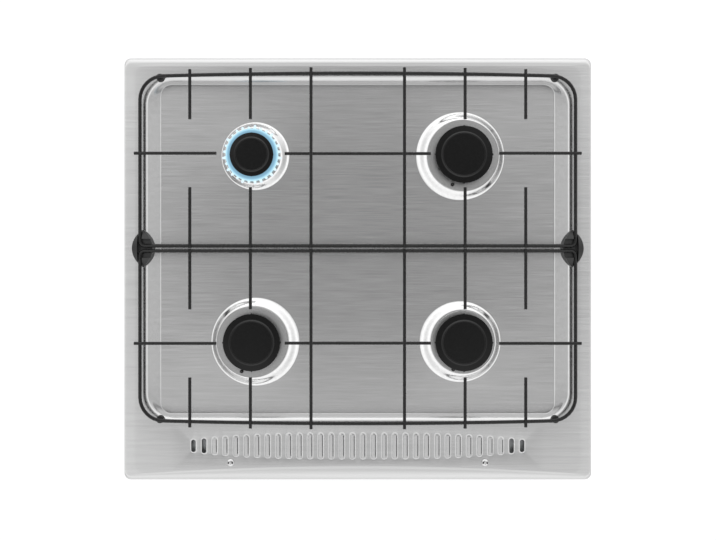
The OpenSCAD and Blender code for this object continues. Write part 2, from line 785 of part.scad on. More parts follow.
// Two long wires and the wire that crosses below them, welded into one piece
module centre_wires() {
    row_y = cook_y + burner_dy;
    outer_end = finger_over + frame_wire_d / 2;
    both_sides() bar_y(inner_finger_x, cook_y + wire_gap, wire_y(inner_finger_x) + outer_end,
        finger_z, finger_wire_d);
    bar_x(finger_gap - burner_dx, burner_dx - finger_gap, row_y, centre_z, finger_wire_d);
}

// Rubber feet pushed on the legs, standing on the rim
module support_feet() {
    both_sides() translate([foot_x, wire_y(foot_x), rim_h + lift_gap]) difference() {
        rotate_extrude() polygon([
            [0, 0], [foot_d / 2 - foot_edge, 0], [foot_d / 2, foot_edge],
            [foot_d / 2 - foot_edge / 2, foot_h], [0, foot_h]]);
        bar_z(0, 0, foot_h - leg_in - lift_gap, foot_h + 1, leg_d + fit_gap);
    }
}

// The front support is the rear one turned round the middle of the cooking area
module to_front() translate([0, 2 * cook_y, 0]) mirror([0, 1, 0]) children();

module rear_frame_wire() color("black") frame_wire();
module rear_finger_wires() color("black") finger_wires();
module rear_centre_wires() color("black") centre_wires();
module rear_feet() color("dimgray") support_feet();
module front_frame_wire() color("black") to_front() frame_wire();
module front_finger_wires() color("black") to_front() finger_wires();
module front_centre_wires() color("black") to_front() centre_wires();
module front_feet() color("dimgray") to_front() support_feet();

// Direction in which the feed pipe leaves a burner
function pipe_side(i) = sign(tap_x(i) - burner_x(i));

// Along the nipple of a burner's cup, from the middle of the burner outwards
module at_nipple(i) at_burner(i) translate([0, 0, pipe_z]) rotate([0, 90 * pipe_side(i), 0]) children();

// Cast cup that hangs in the top and holds the injector and the feed pipe
module burner_cup(i) color("darkgray") {
    window_w = 0.5 * cup_r(i);
    window_h = 10;
    foot_bevel = 3;
    difference() {
        union() {
            at_burner(i) {
                rotate_extrude() polygon([
                    [0, cup_bottom_z], [cup_r(i) - foot_bevel, cup_bottom_z],
                    [cup_r(i), cup_bottom_z + foot_bevel], [cup_r(i), flange_z], [flange_r(i), flange_z],
                    [flange_r(i), seat_z - flange_edge], [flange_r(i) - flange_edge, seat_z], [0, seat_z]]);
                bar_z(0, 0, boss_z, cup_bottom_z + 1, 2 * boss_r);
            }
            at_nipple(i) cylinder(r = nipple_r, h = nipple_l);
        }
        at_burner(i) {
            bar_z(0, 0, chamber_z, seat_z + 1, 2 * bore_r(i));
            bar_z(0, 0, pipe_z, chamber_z + 1, injector_shank_d + fit_gap);
            for (a = cup_screw_angles) rotate(a + 60)
                translate([bore_r(i) - 1, -window_w / 2, chamber_z + 2])
                cube([cup_wall + 2, window_w, window_h]);
        }
        at_nipple(i) cylinder(d = pipe_d + 2 * fit_gap, h = nipple_l + 1);
        at_cup_screws(i) {
            bar_z(0, 0, flange_z - 1, seat_z + 1, cup_screw_d + hole_gap);
            bar_z(0, 0, seat_z - screw_sink, seat_z + 1, cup_screw_head_d + hole_gap);
        }
        at_igniter(i) bar_z(0, 0, flange_z - 1, seat_z + 1, igniter_d + 2 * hole_gap);
    }
}

// Crown that spreads the gas: a mixing tube, a spigot and a ring cut into flame ports
module burner_crown(i) color("lightslategray") {
    ring_r = crown_r(i) - crown_wall;
    spigot_r = bore_r(i) - hole_gap;
    port_l = crown_wall + 2;
    crown_under = 1.5;
    crown_bevel = 0.8;
    at_burner(i) difference() {
        translate([0, 0, crown_z]) rotate_extrude() polygon([
            [venturi_r, crown_base_t], [venturi_r, -venturi_drop],
            [venturi_r + venturi_wall, -venturi_drop], [venturi_r + venturi_wall, -crown_under],
            [spigot_r - spigot_wall, -crown_under], [spigot_r - spigot_wall, -spigot_depth],
            [spigot_r, -spigot_depth], [spigot_r, 0], [crown_r(i) - crown_bevel, 0],
            [crown_r(i), crown_bevel], [crown_r(i), crown_h], [ring_r, crown_h], [ring_r, crown_base_t]]);
        for (k = [0:port_count(i) - 1]) rotate(360 * (k + 0.5) / port_count(i))
            translate([ring_r - 1, -port_w / 2, crown_z + port_sill]) cube([port_l, port_w, crown_h]);
    }
}

// Enamelled cap, with a ring below that keeps it centred on the crown
module burner_cap(i) color([0.08, 0.08, 0.09]) {
    r = cap_r(i);
    disc_r = 0.74 * r;
    rim_r = crown_r(i) - crown_wall - hole_gap;
    rim_t = 1.6;
    rim_drop = 2;
    edge = 0.8;
    at_burner(i) translate([0, 0, cap_z]) rotate_extrude($fn = 96) polygon([
        [0, 0], [rim_r - rim_t, 0], [rim_r - rim_t, -rim_drop], [rim_r, -rim_drop], [rim_r, 0],
        [r - edge, 0], [r, edge], [r, cap_t * 0.42], [r - edge, cap_t * 0.58],
        [disc_r + edge, cap_t * 0.86], [disc_r, cap_t], [disc_r - 3 * edge, cap_t],
        [disc_r - 4 * edge, cap_t * 0.9], [0, cap_t * 0.9]]);
}

module injector(i) color("goldenrod") {
    at_burner(i) difference() {
        union() {
            translate([0, 0, chamber_z]) hex_nut(injector_head_d * cos(30), injector_head_h);
            translate([0, 0, chamber_z + injector_head_h - 1])
                cylinder(d1 = injector_shank_d, d2 = injector_bore_d, h = injector_jet_h + 1, $fn = 48);
            bar_z(0, 0, chamber_z - injector_shank_l, chamber_z + 1, injector_shank_d);
        }
        bar_z(0, 0, chamber_z - injector_shank_l - 1, chamber_z + injector_head_h / 2, injector_bore_d);
        bar_z(0, 0, chamber_z, chamber_z + injector_head_h + injector_jet_h + 1, injector_jet_d);
    }
}

// Ceramic of the spark plug beside each burner, with a collar below the sheet
module igniter(i) color("whitesmoke") {
    r = igniter_d / 2;
    bevel = 0.7;
    collar_r = r + 1.5;
    collar_z = cone_z - sheet - lift_gap;
    collar_h = 4;
    at_igniter(i) difference() {
        rotate_extrude() polygon([
            [0, seat_z + igniter_top], [r - bevel, seat_z + igniter_top], [r, seat_z + igniter_top - bevel],
            [r, collar_z], [collar_r, collar_z], [collar_r, collar_z - collar_h], [r, collar_z - collar_h],
            [r, seat_z - igniter_drop], [0, seat_z - igniter_drop]]);
        bar_z(0, 0, seat_z - igniter_drop - 1, seat_z + igniter_top + 1, igniter_pin_d + fit_gap);
    }
}

module igniter_pins() color("dimgray") {
    pin_out = 1.6;
    pin_in = 6;
    for (i = BURNERS) at_igniter(i)
        bar_z(0, 0, seat_z - igniter_drop - pin_in, seat_z + igniter_top + pin_out, igniter_pin_d);
}

module cup_gaskets() color("dimgray") {
    for (i = BURNERS) difference() {
        at_burner(i) difference() {
            bar_z(0, 0, cone_z, flange_z, 2 * flange_r(i) - gasket_t);
            bar_z(0, 0, cone_z - 1, flange_z + 1, 2 * hole_r(i));
        }
        at_cup_screws(i) bar_z(0, 0, cone_z - 1, flange_z + 1, cup_screw_d + hole_gap);
        at_igniter(i) bar_z(0, 0, cone_z - 1, flange_z + 1, igniter_d + 2 * hole_gap);
    }
}

// Screws through cup, gasket and top, with their nuts below
module cup_screws() color("silver") {
    for (i = BURNERS) at_cup_screws(i) {
        bar_z(0, 0, seat_z - screw_sink, seat_z, cup_screw_head_d);
        bar_z(0, 0, cone_z - sheet - nut_t - screw_past_nut, seat_z - screw_sink / 2, cup_screw_d);
    }
}

module cup_nuts() color("gray") {
    for (i = BURNERS) at_cup_screws(i) translate([0, 0, cone_z - sheet - nut_t]) difference() {
        hex_nut(nut_across, nut_t);
        bar_z(0, 0, -1, nut_t + 1, cup_screw_d + fit_gap);
    }
}

// Pipe from a tap to its burner: straight to the rear, one bend, then across to the nipple
module pipe_run(i, d) {
    across = tap_dx - pipe_bend_r;
    length = burner_y(i) - pipe_bend_r - tap_rear_y + pipe_in;
    at_burner(i) mirror([pipe_side(i) < 0 ? 1 : 0, 0, 0]) translate([across, -pipe_bend_r, pipe_z]) {
        rotate_extrude(angle = 90) translate([pipe_bend_r, 0]) circle(d = d, $fn = 32);
        translate([0, pipe_bend_r, 0]) rotate([0, -90, 0]) cylinder(d = d, h = across - nipple_wall);
        translate([pipe_bend_r, 0, 0]) rotate([90, 0, 0]) cylinder(d = d, h = length);
    }
}

module feed_pipe(i) color("silver") {
    bore_d = pipe_d - 2 * pipe_wall;
    difference() {
        pipe_run(i, pipe_d);
        pipe_run(i, bore_d);
        bar_y(tap_x(i), tap_rear_y - pipe_in - 1, tap_rear_y, pipe_z, bore_d);
        at_nipple(i) cylinder(d = bore_d, h = nipple_l);
    }
}

// Union nuts at the nipple of each cup
module pipe_nuts() color("goldenrod") {
    for (i = BURNERS) at_nipple(i) translate([0, 0, nipple_l + fit_gap]) difference() {
        hex_nut(union_nut_across, union_nut_l);
        bar_z(0, 0, -1, union_nut_l + 1, pipe_d + 2 * fit_gap);
    }
}

// Gas rail, closed by a plug at the left, with the threaded inlet at the right
plug_head = 5;
plug_over = 1;
plug_in = 8;
inlet_head = 6;
inlet_l = 20;
inlet_bore_d = 9;

module gas_rail() color("silver") difference() {
    bar_x(-rail_left, rail_right, -rail_y, rail_z, rail_d);
    bar_x(-rail_left - 1, rail_right + 1, -rail_y, rail_z, rail_d - 2 * rail_wall);
    for (i = BURNERS) bar_z(tap_x(i), -rail_y, rail_z, rail_z + rail_d, gas_way_d);
}

module rail_end_plug() color("goldenrod") {
    bar_x(-rail_left - plug_head, -rail_left, -rail_y, rail_z, rail_d + 2 * plug_over);
    bar_x(-rail_left - 1, -rail_left + plug_in, -rail_y, rail_z, rail_d - 2 * rail_wall - fit_gap);
}

module gas_inlet() color("goldenrod") difference() {
    union() {
        bar_x(rail_right, rail_right + inlet_head, -rail_y, rail_z, inlet_d + 2 * inlet_collar);
        bar_x(rail_right + 1, rail_right + inlet_head + inlet_l, -rail_y, rail_z, inlet_d);
        bar_x(rail_right - plug_in, rail_right + 1, -rail_y, rail_z, rail_d - 2 * rail_wall - fit_gap);
    }
    bar_x(rail_right - plug_in - 1, rail_right + inlet_head + inlet_l + 1, -rail_y, rail_z, inlet_bore_d);
}

// Straps that hold the rail to the front wall of the box, each with its screw hole
bracket_x = burner_dx;
bracket_screw_d = 4;
bracket_head_d = 7;
bracket_head_t = 2.4;
bracket_screw_in = 6;
strap_w = 16;
strap_t = 1.5;
strap_plate_h = 18;

module rail_brackets() color("lightgray") {
    strap_z = rail_z + rail_d / 2 + strap_t / 2;
    both_sides() difference() {
        union() {
            bar_x(bracket_x - strap_w / 2, bracket_x + strap_w / 2, -rail_y, rail_z, rail_d + 2 * strap_t);
            translate([bracket_x - strap_w / 2, -rail_y, strap_z - strap_t])
                cube([strap_w, rail_y - box_front, strap_t]);
            translate([bracket_x - strap_w / 2, -box_front - strap_t, strap_z - strap_plate_h])
                cube([strap_w, strap_t, strap_plate_h]);
        }
        bar_x(bracket_x - strap_w, bracket_x + strap_w, -rail_y, rail_z, rail_d + 2 * fit_gap);
        bar_y(bracket_x, -box_front - 2 * strap_t, -box_front + 1, rail_z, bracket_screw_d + hole_gap);
    }
}

module bracket_screws() color("silver") {
    head_y = -box_front - strap_t;
    both_sides() {
        bar_y(bracket_x, head_y - bracket_head_t, head_y, rail_z, bracket_head_d);
        bar_y(bracket_x, head_y - fit_gap, -box_front + bracket_screw_in, rail_z, bracket_screw_d);
    }
}

// Brass gas tap, seated on the rail, with a bore for its spindle
module gas_tap(i) color("goldenrod") {
    saddle = 14;
    saddle_z = rail_z + 0.4 * rail_d / 2;
    neck_r = 0.36 * tap_d;
    neck_l = 4;
    shoulder_l = 2;
    length = tap_nose + tap_tail;
    difference() {
        union() {
            translate([tap_x(i), tap_front_y, pipe_z]) rotate([-90, 0, 0]) rotate_extrude() polygon([
                [0, 0], [neck_r, 0], [neck_r, neck_l], [tap_d / 2, neck_l + shoulder_l],
                [tap_d / 2, length * 0.62], [neck_r, length * 0.75], [neck_r, length], [0, length]]);
            translate([tap_x(i) - saddle / 2, -rail_y - saddle / 2, saddle_z])
                cube([saddle, saddle, pipe_z - saddle_z]);
        }
        bar_x(tap_x(i) - saddle, tap_x(i) + saddle, -rail_y, rail_z, rail_d + 2 * fit_gap);
        bar_y(tap_x(i), tap_front_y - 1, tap_front_y + spindle_in + 1, pipe_z, collar_d + 2 * run_gap);
        bar_y(tap_x(i), tap_rear_y - pipe_in - 1, tap_rear_y + 1, pipe_z, pipe_d + 2 * fit_gap);
        bar_z(tap_x(i), -rail_y, rail_z, pipe_z, gas_way_d);
        bar_y(tap_x(i), tap_front_y, tap_rear_y, pipe_z, gas_way_d);
    }
}

// Spindle with a flat on its tip for the control knob, and a collar that turns in the tap
module tap_spindle(i) color("silver") {
    flat = 0.125 * spindle_d;
    tip_y = tap_front_y - spindle_out;
    bar_y(tap_x(i), tap_front_y, tap_front_y + spindle_in, pipe_z, collar_d);
    bar_y(tap_x(i), tip_y + spindle_tip_l, tap_front_y + 1, pipe_z, spindle_d);
    difference() {
        bar_y(tap_x(i), tip_y, tip_y + spindle_tip_l + 1, pipe_z, spindle_tip_d);
        translate([tap_x(i) - spindle_d, tip_y - 1, pipe_z + spindle_tip_d / 2 - flat])
            cube([2 * spindle_d, spindle_tip_l + 1, spindle_d]);
    }
}

hob_top();
burner_box();
box_nuts();
vent_tray();
panel_screws();
side_block_left();
side_block_right();
block_screws();
rear_frame_wire();
rear_finger_wires();
rear_centre_wires();
rear_feet();
front_frame_wire();
front_finger_wires();
front_centre_wires();
front_feet();
burner_cup(RL);  // burner_cup_rl
burner_cup(RR);  // burner_cup_rr
burner_cup(FL);  // burner_cup_fl
burner_cup(FR);  // burner_cup_fr
burner_crown(RL);  // burner_crown_rl
burner_crown(RR);  // burner_crown_rr
burner_crown(FL);  // burner_crown_fl
burner_crown(FR);  // burner_crown_fr
burner_cap(RL);  // burner_cap_rl
burner_cap(RR);  // burner_cap_rr
burner_cap(FL);  // burner_cap_fl
burner_cap(FR);  // burner_cap_fr
injector(RL);  // injector_rl
injector(RR);  // injector_rr
injector(FL);  // injector_fl
injector(FR);  // injector_fr
igniter(RL);  // igniter_rl
igniter(RR);  // igniter_rr
igniter(FL);  // igniter_fl
igniter(FR);  // igniter_fr
igniter_pins();
feed_pipe(RL);  // feed_pipe_rl
feed_pipe(RR);  // feed_pipe_rr
feed_pipe(FL);  // feed_pipe_fl
feed_pipe(FR);  // feed_pipe_fr
cup_gaskets();
cup_screws();
cup_nuts();
pipe_nuts();
gas_rail();
rail_end_plug();
gas_inlet();
rail_brackets();
bracket_screws();
gas_tap(RL);  // gas_tap_rl
gas_tap(RR);  // gas_tap_rr
gas_tap(FL);  // gas_tap_fl
gas_tap(FR);  // gas_tap_fr
tap_spindle(RL);  // tap_spindle_rl
tap_spindle(RR);  // tap_spindle_rr
tap_spindle(FL);  // tap_spindle_fl
tap_spindle(FR);  // tap_spindle_fr
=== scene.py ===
# %% [markdown]
# A four-burner gas hob, dressed for a photograph from straight above.
# The engineering model comes in as a fixed frame: every pan support, burner and tap is already at its real
# place and size. This lesson adds what the eye sees: smooth pressed steel, black enamel, cast aluminium,
# and a ring of gas flames. Each new piece is built at its real place and then rides on the frame.

import json
import math

import bmesh
import bpy
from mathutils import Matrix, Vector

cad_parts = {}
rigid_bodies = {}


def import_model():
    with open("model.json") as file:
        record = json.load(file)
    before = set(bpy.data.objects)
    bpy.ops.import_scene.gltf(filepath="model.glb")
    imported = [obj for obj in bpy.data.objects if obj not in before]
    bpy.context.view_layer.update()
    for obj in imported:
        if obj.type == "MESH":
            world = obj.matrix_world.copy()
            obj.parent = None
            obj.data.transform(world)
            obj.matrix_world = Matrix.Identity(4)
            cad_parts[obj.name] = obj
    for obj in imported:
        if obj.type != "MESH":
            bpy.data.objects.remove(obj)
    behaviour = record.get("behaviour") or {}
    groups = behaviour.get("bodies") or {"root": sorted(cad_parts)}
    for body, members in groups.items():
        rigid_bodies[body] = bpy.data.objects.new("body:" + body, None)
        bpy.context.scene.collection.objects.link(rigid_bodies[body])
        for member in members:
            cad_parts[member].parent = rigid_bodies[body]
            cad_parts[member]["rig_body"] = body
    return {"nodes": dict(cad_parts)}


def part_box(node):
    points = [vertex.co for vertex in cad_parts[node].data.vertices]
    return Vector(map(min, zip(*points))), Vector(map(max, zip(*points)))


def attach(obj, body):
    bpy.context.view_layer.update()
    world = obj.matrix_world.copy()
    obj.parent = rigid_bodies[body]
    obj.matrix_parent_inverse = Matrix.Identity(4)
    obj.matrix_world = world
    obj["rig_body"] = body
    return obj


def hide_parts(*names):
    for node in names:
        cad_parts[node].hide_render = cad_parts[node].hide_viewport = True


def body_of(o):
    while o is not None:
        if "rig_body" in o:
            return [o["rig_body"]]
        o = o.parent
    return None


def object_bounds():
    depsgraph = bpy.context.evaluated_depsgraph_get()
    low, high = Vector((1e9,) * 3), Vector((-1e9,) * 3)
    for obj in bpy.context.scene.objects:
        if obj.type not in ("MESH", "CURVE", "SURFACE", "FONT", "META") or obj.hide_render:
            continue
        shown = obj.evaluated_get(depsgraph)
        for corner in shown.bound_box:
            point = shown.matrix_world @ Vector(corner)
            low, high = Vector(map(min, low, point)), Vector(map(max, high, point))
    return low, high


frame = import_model()
cad_low, cad_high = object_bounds()
MM = 0.001
BURNERS = ("rl", "rr", "fl", "fr")
print("CAD box in mm:", [round(v / MM, 1) for v in (*cad_low, *cad_high)])

# %% [markdown]
# Blender's operators work on whatever is selected, and the frame comes in selected. So a few small helpers
# keep the selection clean: they pick objects, enter edit mode, and select points by their place.


# %% Helpers for selecting
def deselect():
    if bpy.context.mode != "OBJECT":
        bpy.ops.object.mode_set(mode="OBJECT")
    bpy.ops.object.select_all(action="DESELECT")


def pick(*objects):
    deselect()
    for item in objects:
        item.select_set(True)
    bpy.context.view_layer.objects.active = objects[0]
    return objects[0]


def edit(item):
    pick(item)
    bpy.ops.object.mode_set(mode="EDIT")
    bpy.ops.mesh.select_mode(type="VERT")
    bpy.ops.mesh.select_all(action="DESELECT")


def select_points(item, wanted):
    """In edit mode, selects only the points for which wanted(point) is true."""
    bpy.ops.mesh.select_all(action="DESELECT")
    shape = bmesh.from_edit_mesh(item.data)
    for point in shape.verts:
        point.select_set(bool(wanted(point)))
    shape.select_flush(True)
    bmesh.update_edit_mesh(item.data)


def leave_edit():
    bpy.ops.object.mode_set(mode="OBJECT")


# %% [markdown]
# A piece is often built from several meshes. The next helpers join them, apply modifiers, and close the
# piece: its place goes into its mesh, it gets its finish, and it is told which body it rides on.


# %% Helpers for joining and finishing
def join(objects, name):
    first = pick(*objects)
    bpy.ops.object.join()
    first.name = name
    first.data.name = name
    return first


def freeze(item):
    """Puts the object's place into its mesh and leaves the object at the origin."""
    pick(item)
    bpy.ops.object.transform_apply(location=True, rotation=True, scale=True)


def add_modifier(item, kind, **settings):
    modifier = item.modifiers.new(kind.title(), kind)
    for key, value in settings.items():
        setattr(modifier, key, value)
    pick(item)
    bpy.ops.object.modifier_apply(modifier=modifier.name)


def smooth(item, degrees):
    pick(item)
    bpy.ops.object.shade_smooth_by_angle(angle=math.radians(degrees))


def paint(item, material):
    item.data.materials.clear()
    item.data.materials.append(material)


def body_of_node(node):
    return body_of(frame["nodes"][node])[0]


def finish_piece(item, material, slot, *nodes):
    """Closes a piece that stands for CAD nodes: finish, ride and replace. The slot argument is not used."""
    freeze(item)
    if material:
        paint(item, material)
    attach(item, body_of_node(nodes[0]))
    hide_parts(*nodes)
    print(item.name, len(item.data.polygons), "faces, for", ", ".join(nodes))


# %% [markdown]
# The photograph looks straight down from a little over a metre. A hob is 600 mm wide, so the lens and
# height below put its edges where the photograph has them. The camera's own blur stays off.

# %% Camera
CAMERA_PLACE = (0.3 * MM, -1.4 * MM, 1168.5 * MM)
CAMERA_ANGLE = math.radians(45.4)
NEAREST_SEEN = 50 * MM

lens = bpy.data.cameras.new("studio_camera")
lens.sensor_fit = "HORIZONTAL"
lens.angle = CAMERA_ANGLE
lens.clip_start = NEAREST_SEEN
camera = bpy.data.objects.new("studio_camera", lens)
camera.location = CAMERA_PLACE
bpy.context.scene.collection.objects.link(camera)
bpy.context.scene.camera = camera
bpy.context.scene.view_settings.view_transform = "Standard"
print("camera", [round(v, 3) for v in camera.location], "metres")

# %% [markdown]
# Polished steel has almost no colour of its own: it shows the room. A product studio therefore builds the
# room for the steel. Right above the hob the ceiling is dim, where the camera hangs, and a wide bright ring
# of soft light lies round it. A picture of a room could light the steel too, but a dome made of nodes needs
# no file, and the ring can be set apart for the left, the right, the front and the rear.


# %% Nodes in one call
def add_node(tree, kind, inputs=None, **settings):
    """Adds a node, sets its properties, and sets or links its inputs by name."""
    node = tree.nodes.new(kind)
    for key, value in settings.items():
        setattr(node, key, value)
    for key, value in (inputs or {}).items():
        if isinstance(value, bpy.types.NodeSocket):
            tree.links.new(value, node.inputs[key])
        else:
            node.inputs[key].default_value = value
    return node


def ramp(tree, value, stops):
    """A straight ramp through grey levels or colours at places between 0 and 1."""
    node = add_node(tree, "ShaderNodeValToRGB", {"Fac": value})
    node.color_ramp.interpolation = "LINEAR"
    points = node.color_ramp.elements
    while len(points) < len(stops):
        points.new(0.5)
    for point, (place, level) in zip(points, stops):
        point.position = place
        colour = level if isinstance(level, tuple) else (level, level, level)
        point.color = (*colour, 1)
    return node.outputs["Color"]


def maths(tree, operation, first, second=0.0):
    node = tree.nodes.new("ShaderNodeMath")
    node.operation = operation
    for socket, value in zip(node.inputs, (first, second)):
        if isinstance(value, bpy.types.NodeSocket):
            tree.links.new(value, socket)
        else:
            socket.default_value = value
    return node.outputs[0]


def mix_colours(tree, share, first, second):
    node = tree.nodes.new("ShaderNodeMix")
    node.data_type = "RGBA"
    tree.links.new(share, node.inputs["Factor"])
    tree.links.new(first, node.inputs["A"])
    tree.links.new(second, node.inputs["B"])
    return node.outputs["Result"]


# %% Brightness of the dome, as pairs of (degrees from the zenith, level)
DOME_STRENGTH = 1.8
DOME_LEFT = (
    (0, 0.29),
    (6, 0.29),
    (11, 0.30),
    (14.5, 0.40),
    (18, 0.66),
    (24, 0.98),
    (31, 1.30),
    (45, 1.35),
    (54, 0.95),
    (61, 0.60),
    (90, 0.66),
)
DOME_RIGHT = (
    (0, 0.29),
    (6, 0.29),
    (11, 0.29),
    (14.5, 0.35),
    (18, 0.53),
    (24, 0.82),
    (31, 1.25),
    (45, 1.35),
    (54, 0.95),
    (61, 0.60),
    (90, 0.66),
)
DOME_FRONT = (
    (0, 0.29),
    (6, 0.31),
    (8, 0.38),
    (10, 0.58),
    (12, 0.76),
    (16, 0.88),
    (30, 1.18),
    (45, 1.22),
    (56, 1.22),
    (66, 1.15),
    (90, 1.05),
)
DOME_REAR = (
    (0, 0.29),
    (6, 0.29),
    (10, 0.30),
    (13, 0.36),
    (17, 0.50),
    (23, 0.85),
    (30, 1.20),
    (45, 1.42),
    (56, 1.50),
    (66, 1.55),
    (90, 1.50),
)
print("dome: zenith", DOME_LEFT[0][1], "ring", max(level for _, level in DOME_REAR))


# %% Studio dome
ABOVE_ZERO = 0.0001


def dome_ramp(tree, tilt, levels):
    """Brightness by tilt from the zenith, where a tilt of 1 is the horizon."""
    return ramp(tree, tilt, [(angle / 90, level / DOME_STRENGTH) for angle, level in levels])


world = bpy.data.worlds.new("studio")
bpy.context.scene.world = world
world.use_nodes = True
dome = world.node_tree
dome.nodes.clear()
direction = add_node(dome, "ShaderNodeTexCoord")
part = add_node(dome, "ShaderNodeSeparateXYZ", {"Vector": direction.outputs["Generated"]})
tilt = maths(dome, "DIVIDE", maths(dome, "ARCCOSINE", part.outputs["Z"]), math.pi / 2)
x_square = maths(dome, "MULTIPLY", part.outputs["X"], part.outputs["X"])
y_square = maths(dome, "MULTIPLY", part.outputs["Y"], part.outputs["Y"])
across = maths(dome, "MAXIMUM", maths(dome, "ADD", x_square, y_square), ABOVE_ZERO)
lengthwise = maths(dome, "DIVIDE", y_square, across)
behind = maths(dome, "GREATER_THAN", part.outputs["Y"], 0.0)
ends = mix_colours(dome, behind, dome_ramp(dome, tilt, DOME_FRONT), dome_ramp(dome, tilt, DOME_REAR))
right = maths(dome, "GREATER_THAN", part.outputs["X"], 0.0)
sides = mix_colours(dome, right, dome_ramp(dome, tilt, DOME_LEFT), dome_ramp(dome, tilt, DOME_RIGHT))
levels = mix_colours(dome, lengthwise, sides, ends)
sky = add_node(dome, "ShaderNodeBackground", {"Color": levels, "Strength": DOME_STRENGTH})
add_node(dome, "ShaderNodeOutputWorld", {"Surface": sky.outputs["Background"]})
print("dome of", len(dome.nodes), "nodes")

# %% [markdown]
# A weak area light from one corner adds soft shadows. It is hidden from reflections, so the steel shows
# only the dome. The floor is one large sheet just below the hob.

# %% Key light and floor
KEY_PLACE = (0.75, 0.75, 1.5)
KEY_TURN = (-36, 27, 0)
KEY_SIZE = 0.7
KEY_POWER = 2
FLOOR_SIZE = 8
FLOOR_DROP = 0.3

deselect()
bpy.ops.object.light_add(type="AREA", location=KEY_PLACE)
key_light = bpy.context.object
key_light.name = "key_light"
key_light.data.size = KEY_SIZE
key_light.data.energy = KEY_POWER
key_light.rotation_euler = [math.radians(turn) for turn in KEY_TURN]
key_light.visible_glossy = False

bpy.ops.mesh.primitive_plane_add(size=FLOOR_SIZE, location=(0, 0, cad_low.z - FLOOR_DROP * MM))
floor = bpy.context.object
floor.name = "studio_floor"
print("key light of", KEY_POWER, "watts, floor", FLOOR_SIZE, "metres wide")

# %% [markdown]
# Materials. Every finish is a small recipe of nodes: a colour that varies a little, a roughness that varies
# a little, and a bump at the size that the real surface has. The same helper mixes them all, and numbers
# that are the same all over the surface go straight onto the shader.


# %% Material helpers
def new_material(name, **constants):
    material = bpy.data.materials.new(name)
    material.use_nodes = True
    tree = material.node_tree
    shader = tree.nodes["Principled BSDF"]
    for key, value in constants.items():
        shader.inputs[key.replace("_", " ")].default_value = value
    return material, tree, shader


def grain(tree, scale, detail):
    """Noise on object coordinates, stretched by a scale along each axis, in grains per metre."""
    place = add_node(tree, "ShaderNodeTexCoord")
    mapping = add_node(tree, "ShaderNodeMapping", {"Vector": place.outputs["Object"], "Scale": scale})
    noise = add_node(
        tree,
        "ShaderNodeTexNoise",
        {"Vector": mapping.outputs["Vector"], "Scale": 1.0, "Detail": detail, "Roughness": 0.5},
    )
    return noise.outputs["Fac"]


def spread(tree, value, low, high, from_low=0.3, from_high=0.7):
    """Maps a value, such as noise, to a range."""
    node = add_node(
        tree,
        "ShaderNodeMapRange",
        {"Value": value, "From Min": from_low, "From Max": from_high, "To Min": low, "To Max": high},
    )
    return node.outputs["Result"]


def grey(tree, value, low, high, tint=(1.0, 1.0, 1.0)):
    """A colour between two levels of one tint."""
    dark = tuple(low * part for part in tint)
    light = tuple(high * part for part in tint)
    return ramp(tree, value, ((0.3, dark), (0.7, light)))


def bump(tree, shader, value, strength, distance):
    node = add_node(
        tree, "ShaderNodeBump", {"Height": value, "Strength": strength, "Distance": distance}
    )
    tree.links.new(node.outputs["Normal"], shader.inputs["Normal"])


def even(scale):
    return (scale, scale, scale)


# %% [markdown]
# The top is brushed by a belt along its width and the cones are polished. A picture of brush marks would
# repeat itself. Noise that is stretched along X doesn't, and an anisotropic shader with its tangent across
# the lines blurs reflections across the brushing and keeps them clear along it.

# %% Brushed and polished stainless steel
BRUSH_LINES = (22, 900, 900)
BRUSH_STREAKS = (4, 190, 190)
EDGE_TINT = (0.78, 0.78, 0.78, 1)


def brushed_steel():
    material, tree, shader = new_material("brushed_steel", Metallic=1.0, Anisotropic=0.72)
    shader.inputs["Specular Tint"].default_value = EDGE_TINT
    fine = grain(tree, BRUSH_LINES, 3.0)
    streaks = grain(tree, BRUSH_STREAKS, 3.0)
    both = add_node(tree, "ShaderNodeMix", {"Factor": 0.5, "A": fine, "B": streaks})
    colour = grey(tree, both.outputs["Result"], 0.60, 0.67)
    tree.links.new(colour, shader.inputs["Base Color"])
    tree.links.new(spread(tree, fine, 0.20, 0.26), shader.inputs["Roughness"])
    along = add_node(tree, "ShaderNodeCombineXYZ", {"X": 0.0, "Y": 1.0, "Z": 0.0})
    tree.links.new(along.outputs["Vector"], shader.inputs["Tangent"])
    bump(tree, shader, fine, 0.12, 0.02 * MM)
    return material


def polished_steel():
    """Steel of the cones, which are polished after pressing."""
    material, tree, shader = new_material("polished_steel", Metallic=1.0)
    haze = grain(tree, even(260), 3.0)
    tree.links.new(grey(tree, haze, 0.74, 0.80), shader.inputs["Base Color"])
    tree.links.new(spread(tree, haze, 0.10, 0.17), shader.inputs["Roughness"])
    return material


STEEL = brushed_steel()
POLISHED = polished_steel()
print("steel finishes:", STEEL.name, POLISHED.name)

# %% [markdown]
# Five blacks differ mainly in gloss: enamel on the caps and wires, moulded plastic on the side blocks,
# rubber feet, and fibre gaskets. Enamel is glass fired on metal. A clear coat over a dark base could show
# it too, but one very dark layer with a sharp reflection is simpler and is enough here.


# %% Black finishes
def black_enamel():
    """Glossy vitreous enamel of the burner caps."""
    material, tree, shader = new_material("cap_enamel", IOR=1.48)
    mottle = grain(tree, even(420), 2.0)
    tree.links.new(grey(tree, mottle, 0.0006, 0.0014), shader.inputs["Base Color"])
    tree.links.new(spread(tree, mottle, 0.12, 0.18), shader.inputs["Roughness"])
    bump(tree, shader, mottle, 0.08, 0.05 * MM)
    return material


